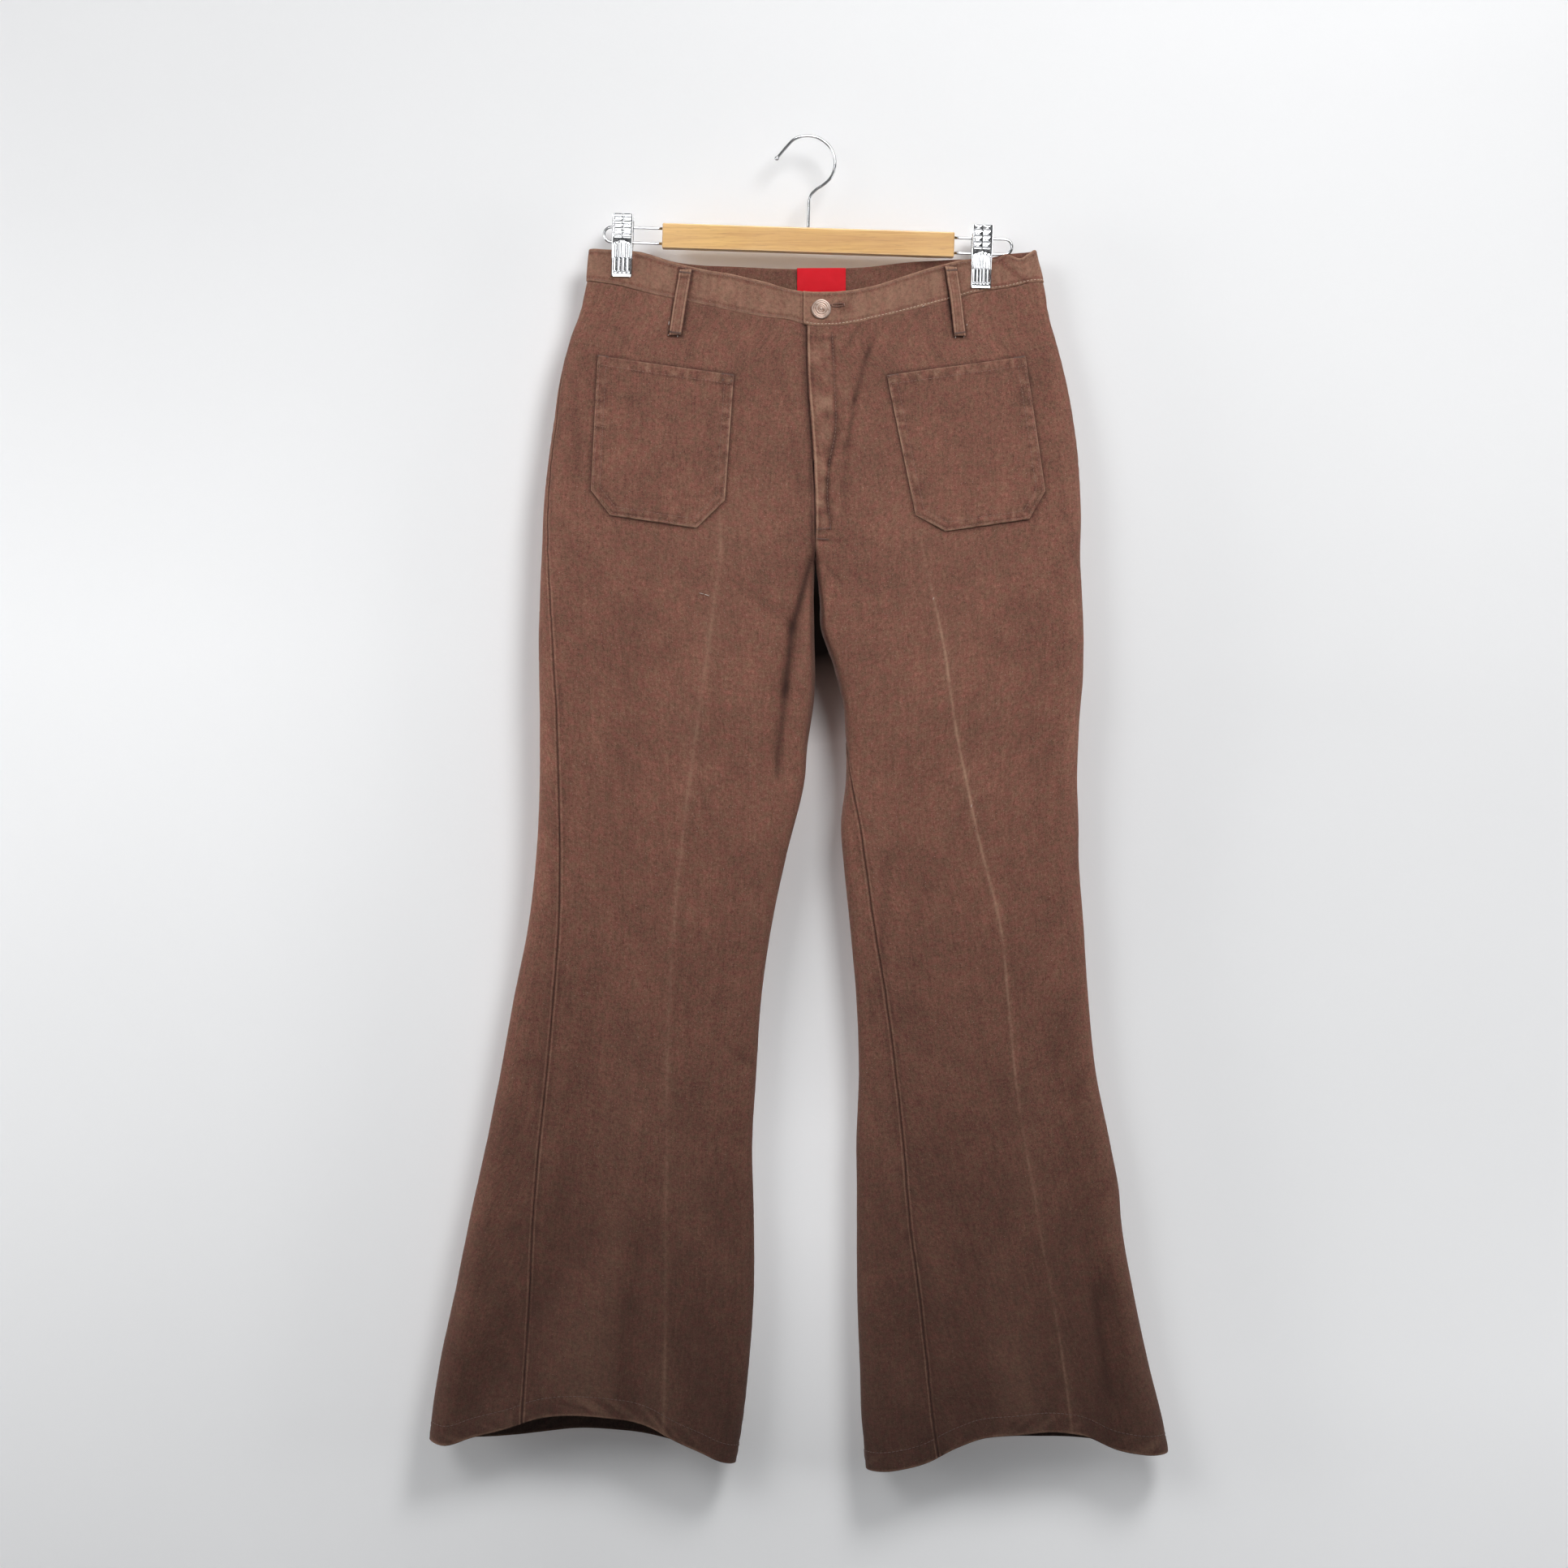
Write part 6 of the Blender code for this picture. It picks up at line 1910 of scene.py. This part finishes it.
def dress(piece, slot, *nodes):
    """Set a piece on the body and hide the nodes it stands for. The slot, its finish, is not used.
    """
    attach(piece, "root")
    if nodes:
        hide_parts(*nodes)
    return piece


class TROUSERS_OT_panels(bpy.types.Operator):
    """Cut and hang the four panels of the trousers"""

    bl_idname = "trousers.panels"
    bl_label = "Panels"

    def execute(self, context):
        for side in ("left", "right"):
            for face in ("front", "back"):
                piece = build_panel(side, face, denim())
                dress(piece, "denim", face + "_" + side)
        return {"FINISHED"}


class TROUSERS_OT_waistband(bpy.types.Operator):
    """Make the waistband strip"""

    bl_idname = "trousers.waistband"
    bl_label = "Waistband"

    def execute(self, context):
        dress(build_waistband(denim()), "denim", "waistband")
        return {"FINISHED"}


class TROUSERS_OT_pockets(bpy.types.Operator):
    """Lay the two patch pockets on the front"""

    bl_idname = "trousers.pockets"
    bl_label = "Pockets"

    def execute(self, context):
        for side in ("left", "right"):
            dress(build_pocket(side, denim()), "denim", "pocket_" + side)
        return {"FINISHED"}


class TROUSERS_OT_loops(bpy.types.Operator):
    """Sew the five belt loops over the waistband"""

    bl_idname = "trousers.loops"
    bl_label = "Belt loops"

    def execute(self, context):
        for name in LOOPS:
            dress(build_loop(name, denim()), "denim", name)
        return {"FINISHED"}


def thread(name, colour):
    """A thread of one colour, made once."""
    return found_material(name, lambda made: thread_material(made, colour))


class TROUSERS_OT_sewing(bpy.types.Operator):
    """Sew the stitches and tacks"""

    bl_idname = "trousers.sewing"
    bl_label = "Sewing"

    def execute(self, context):
        cloth = settings()
        brown = thread("brown_thread", tuple(cloth.thread_brown))
        pale = thread("pale_thread", tuple(cloth.thread_pale))
        stations = band_stations()
        share = np.array([s for _, _, s in stations])
        right_front = np.array([(s[0], s[1]) == ("right", "front") for s in stations])
        over = np.flatnonzero(right_front)
        rest = np.flatnonzero(~right_front & (share < 0.985))
        dark = thread("dark_thread", tuple(cloth.thread_dark))
        rows = {
            "waist_seam_stitches": (pale, [
                stitched(*band_line(2.0, "bottom", over[3:]), 2.2, 1.0)]),
            "waist_seam_stitches_brown": (brown, [
                stitched(*band_line(2.0, "bottom", rest), 2.4, 0.8)]),
            "waist_top_stitches": (brown, [
                stitched(*band_line(2.6, "top", over[4:]), 2.4, 0.8),
                stitched(*band_line(2.6, "top", rest), 2.4, 0.8)]),
            "hem_stitches": (dark, hem_stitches()),
            "fly_stitches": (brown, [fly_stitches()]),
            "loop_stitches": (brown, [loop_stitches()]),
            "bar_tacks": (dark, [tack_threads()]),
            "thread_ends": (thread("white_thread", tuple(cloth.thread_white)),
                            [speck_threads()]),
        }
        for name, (material, groups) in rows.items():
            starts, ends, normals = joined(groups)
            piece = thread_mesh(name, starts, ends, normals, 0.34, 0.28, material)
            dress(piece, "denim")
        for side in ("left", "right"):
            piece = thread_mesh(f"pocket_{side}_stitches", *pocket_stitches(side), 0.3, 0.22,
                                brown)
            dress(piece, "denim")
        return {"FINISHED"}


class TROUSERS_OT_button(bpy.types.Operator):
    """Fit the button, its buttonhole and the label"""

    bl_idname = "trousers.button"
    bl_label = "Button and label"

    def execute(self, context):
        metal = found_material("copper_button", button_material)
        dress(build_button(metal), "button_metal", "shank_button")
        brown = thread("brown_thread", tuple(settings().thread_brown))
        starts, ends, normals = buttonhole_stitches()
        dress(thread_mesh("buttonhole", starts, ends, normals, 0.3, 0.35, brown), "denim")
        red = found_material("red_tape", label_material)
        dress(build_label(red), "label", "waist_label")
        return {"FINISHED"}


class TROUSERS_OT_hanger(bpy.types.Operator):
    """Finish the wooden bar, the wires and the clips"""

    bl_idname = "trousers.hanger"
    bl_label = "Hanger"

    def execute(self, context):
        hanger = context.scene.trousers_hanger
        wood = found_material("varnished_wood", lambda name: wood_material(name, hanger))
        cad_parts["hanger_bar"].material_slots[0].material = wood
        polish = hanger.chrome_roughness
        # Two copies of one chrome, darkened with painted shade: a little for the clips, more for
        # the wires and the hook.
        chrome = found_material("bright_chrome", lambda name: chrome_material(name, polish, 0.8))
        wire = found_material("wire_shaded_chrome", lambda name: chrome_material(name, polish, 0.55))
        for side in ("left", "right"):
            dress(build_rail(side, wire), "chrome", "hanger_rail_" + side)
            for face in ("front", "back"):
                node = f"clip_{side}_jaw_{face}"
                dress(build_jaw(side, face, chrome), "chrome", node)
            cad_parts[f"clip_{side}_spring"].material_slots[0].material = chrome
        dress(build_hook(wire), "chrome", "hanger_hook")
        return {"FINISHED"}


class TROUSERS_OT_stage(bpy.types.Operator):
    """Set up the backdrop, floor, lights and camera"""

    bl_idname = "trousers.stage"
    bl_label = "Stage"

    def execute(self, context):
        build_stage(context.scene.trousers_stage)
        return {"FINISHED"}


def one_sided(nodes):
    """Let a backdrop be seen only from its front: the back of its faces is clear."""
    clear = nodes.add("ShaderNodeBsdfTransparent")
    back = nodes.add("ShaderNodeNewGeometry").outputs["Backfacing"]
    mixed = nodes.add("ShaderNodeMixShader", {0: back})
    output = nodes.tree.nodes["Material Output"]
    nodes.tree.links.new(nodes.shader.outputs[0], mixed.inputs[1])
    nodes.tree.links.new(clear.outputs[0], mixed.inputs[2])
    nodes.tree.links.new(mixed.outputs[0], output.inputs["Surface"])


def plane(name, corners, material):
    """A flat backdrop through four corners."""
    mesh = bpy.data.meshes.new(name)
    mesh.from_pydata(corners, [], [(0, 1, 2, 3)])
    mesh.materials.append(material)
    thing = add_object(name, mesh)
    return thing


def paint_material(name, colour):
    """Matt paint, a little stippled and cloudy. Returns its nodes."""
    n = Nodes(name)
    place = n.place()
    stipple = n.noise(place, 140.0, 3.0, 0.6)
    clouds = n.noise(place, 1.6, 3.0, 0.5)
    pale = tuple(0.97 * c for c in colour)
    mixed = n.mix(n.between(clouds, 0.35, 0.65), rgb(pale), rgb(colour))
    n.surface(Base_Color=mixed, Roughness=1.0, Specular_IOR_Level=0.1,
              Normal=n.bump(stipple, 0.12, 0.0008))
    return n


def area_light(name, place, target, size, power):
    """A round light at a place, turned to its target. yaw = atan2(y, x) - 90 degrees and
    pitch = atan2(z, level distance) + 90 degrees of the way to it."""
    light = bpy.data.lights.new(name, "AREA")
    light.shape = "DISK"
    light.size = size
    light.energy = power
    thing = add_object(name, light)
    thing.location = place
    aim = np.array(target) - np.array(place)
    yaw = math.atan2(aim[1], aim[0]) - math.pi / 2
    pitch = math.atan2(aim[2], math.hypot(aim[0], aim[1])) + math.pi / 2
    thing.rotation_euler = (pitch, 0.0, yaw)
    return thing


def paint_room(world):
    """A pale ceiling over a dimmer room: brightness follows the direction's height."""
    tree = world.node_tree
    direction = tree.nodes.new("ShaderNodeTexCoord").outputs["Generated"]
    split = tree.nodes.new("ShaderNodeSeparateXYZ")
    tree.links.new(direction, split.inputs[0])
    ramp = tree.nodes.new("ShaderNodeValToRGB")
    stops = ramp.color_ramp.elements
    stops[0].position = 0.0
    stops[0].color = (0.30, 0.29, 0.28, 1)
    stops[1].position = 1.0
    stops[1].color = (0.95, 0.97, 1.0, 1)
    for position, value in ((0.42, 0.16), (0.56, 0.30), (0.68, 1.25)):
        stop = stops.new(position)
        stop.color = (value, value, value * 1.02, 1)
    shift = tree.nodes.new("ShaderNodeMapRange")
    shift.inputs["From Min"].default_value = -1.0
    tree.links.new(split.outputs[2], shift.inputs["Value"])
    tree.links.new(shift.outputs[0], ramp.inputs[0])
    tree.links.new(ramp.outputs[0], tree.nodes["Background"].inputs["Color"])


SURROUND_RADIUS = 9.0


def surround():
    """A large pale ball round everything, seen by the camera where no backdrop is."""
    n = Nodes("pale_surround")
    tone = n.between(n.part(n.place(), 2), -6.0, 6.0, 0.50, 0.74)
    n.surface(Base_Color=(0, 0, 0, 1), Roughness=1.0, Specular_IOR_Level=0.0,
              Emission_Color=(0.98, 0.99, 1.0, 1), Emission_Strength=tone)
    mesh = bpy.data.meshes.new("surround")
    shape = bmesh.new()
    bmesh.ops.create_uvsphere(shape, u_segments=48, v_segments=24, radius=SURROUND_RADIUS)
    bmesh.ops.reverse_faces(shape, faces=shape.faces[:])
    shape.to_mesh(mesh)
    shape.free()
    mesh.shade_smooth()
    mesh.materials.append(n.material)
    ball = add_object("surround", mesh)
    for kind in ("diffuse", "glossy", "shadow"):
        setattr(ball, "visible_" + kind, False)


def wall_material(stage):
    """The wall's paint, with a faint painted glow where the real wall is lit from the sides and low
    between the legs, and a painted shadow dimming it behind the fork and a little towards the top."""
    n = paint_material("wall_paint", (0.90, 0.905, 0.915))
    place = n.place()
    side = n.part(place, 0)
    height = n.part(place, 2)
    y = stage.wall_distance
    left = n.product(n.between(side, 0.5, -0.5, 0.02, 0.13),
                     n.between(height, -0.45, -0.05, 1.0, 0.35))
    low_right = n.product(n.between(side, -0.2, 0.5, 0.0, 0.2),
                          n.between(height, -0.5, -1.1, 0.0, 1.0))
    away = n.distance(place, (0.02, y, -0.46))
    glow = n.product(n.between(away, 0.06, 0.42), n.sum(left, low_right))
    # A painted glow low between the legs.
    between_legs = n.distance(place, (0.0, y, -0.92))
    glow = n.sum(glow, n.between(between_legs, 0.04, 0.26, 0.13, 0.0))
    # A painted shadow behind the fork and a little painted shade towards the top.
    fork = n.distance(place, (0.004, y, -0.405))
    dim = n.product(n.between(fork, 0.05, 0.13, 0.02, 1.0),
                    n.between(height, -0.45, 0.05, 1.0, 0.92))
    painted = n.shader.inputs["Base Color"].links[0].from_socket
    n.surface(Base_Color=n.shaded(painted, dim), Emission_Color=(0.97, 0.98, 1.0, 1),
              Emission_Strength=glow)
    one_sided(n)
    return n.material


def floor_material():
    """Grey paint with an even glow."""
    n = paint_material("floor_paint", (0.30, 0.30, 0.31))
    n.surface(Emission_Color=(0.98, 0.99, 1.0, 1), Emission_Strength=0.40)
    one_sided(n)
    return n.material


# Cards seen only in gloss: place, target, width and power
GLOSS_CARDS = {
    "low_card": ((0.0, -1.8, -1.0), (0.0, 0.0, -0.1), 0.9, 16.0),
    "gloss_card": ((0.1, -1.0, 0.9), (0.0, 0.0, -0.05), 0.8, 22.0),
    "front_card": ((-0.38, -1.6, 0.26), (-0.1, 0.0, -0.1), 0.45, 1.5),
}
WALL_TOP = 1.2
FLOOR_REACH = 6.0


def build_lights(key_power):
    """The main light and its fill, the gloss cards, a light at each side and one behind."""
    area_light("key", (0.62, -1.35, 0.62), (0.0, 0.0, -0.35), 0.7, key_power)
    area_light("left_fill", (-1.2, -1.6, 0.3), (0.0, 0.0, -0.6), 1.0, key_power * 0.55)
    for name, card in GLOSS_CARDS.items():
        area_light(name, *card).visible_diffuse = False
    for name, x, power in (("left_side", -2.2, 10.0), ("right_side", 2.2, 7.5)):
        side_light = area_light(name, (x, -0.35, -0.5), (0.0, 0.0, -0.65), 1.2, power)
        side_light.data.spread = math.radians(100)
    area_light("back_fill", (-0.9, 2.2, 0.8), (0.0, 0.0, -0.5), 1.2, 62.0)


def build_camera():
    """The camera that took the photograph, looking straight at the wall."""
    camera = bpy.data.cameras.new("camera")
    camera.lens = CAMERA_LENS
    camera.sensor_width = 36.0
    camera.clip_end = 50.0
    thing = add_object("camera", camera)
    thing.location = tuple(c * MM for c in CAMERA_PLACE)
    thing.rotation_euler = (math.pi / 2, 0.0, 0.0)
    bpy.context.scene.camera = thing


def build_stage(stage):
    """The wall, the floor, the pale surroundings, the lights and the camera."""
    wall_paint = wall_material(stage)
    floor_paint = floor_material()
    surround()
    y = stage.wall_distance
    z = stage.floor_height
    x = stage.wall_width / 2
    wall = plane("backdrop_wall", [(-x, y, z), (x, y, z), (x, y, WALL_TOP), (-x, y, WALL_TOP)],
                 wall_paint)
    wall.visible_shadow = False
    wall.visible_diffuse = False
    far = FLOOR_REACH
    floor = plane("floor", [(-far, -far, z), (far, -far, z), (far, far, z), (-far, far, z)],
                  floor_paint)
    floor.visible_diffuse = False
    world = bpy.data.worlds.new("pale_room")
    world.use_nodes = True
    world.node_tree.nodes["Background"].inputs["Strength"].default_value = stage.world_strength
    paint_room(world)
    bpy.context.scene.world = world
    bpy.context.scene.view_settings.view_transform = "Standard"
    build_lights(stage.key_power)
    build_camera()


class TROUSERS_PT_panel(bpy.types.Panel):
    """Lists the steps that build the trousers"""

    bl_idname = "TROUSERS_PT_panel"
    bl_label = "Trousers"
    bl_space_type = "VIEW_3D"
    bl_region_type = "UI"
    bl_category = "Trousers"

    def draw(self, context):
        for group in (context.scene.trousers_cloth, context.scene.trousers_hanger,
                      context.scene.trousers_stage):
            for name in group.bl_rna.properties.keys():
                if name not in ("rna_type", "name"):
                    self.layout.prop(group, name)
        for operator in OPERATORS:
            self.layout.operator(operator.bl_idname)


OPERATORS = (TROUSERS_OT_panels, TROUSERS_OT_waistband, TROUSERS_OT_pockets, TROUSERS_OT_loops,
             TROUSERS_OT_sewing, TROUSERS_OT_button, TROUSERS_OT_hanger, TROUSERS_OT_stage)
CLASSES = (ClothSettings, HangerSettings, StageSettings, *OPERATORS, TROUSERS_PT_panel)


def register():
    """Add the settings, operators and panel to Blender."""
    for one in CLASSES:
        bpy.utils.register_class(one)
    bpy.types.Scene.trousers_cloth = bpy.props.PointerProperty(type=ClothSettings)
    bpy.types.Scene.trousers_hanger = bpy.props.PointerProperty(type=HangerSettings)
    bpy.types.Scene.trousers_stage = bpy.props.PointerProperty(type=StageSettings)


def unregister():
    """Take them away again."""
    del bpy.types.Scene.trousers_stage
    del bpy.types.Scene.trousers_hanger
    del bpy.types.Scene.trousers_cloth
    for one in reversed(CLASSES):
        bpy.utils.unregister_class(one)


def main():
    register()
    bpy.ops.trousers.panels()
    bpy.ops.trousers.waistband()
    bpy.ops.trousers.pockets()
    bpy.ops.trousers.loops()
    bpy.ops.trousers.sewing()
    bpy.ops.trousers.button()
    bpy.ops.trousers.hanger()
    bpy.ops.trousers.stage()


if __name__ == "__main__":
    main()
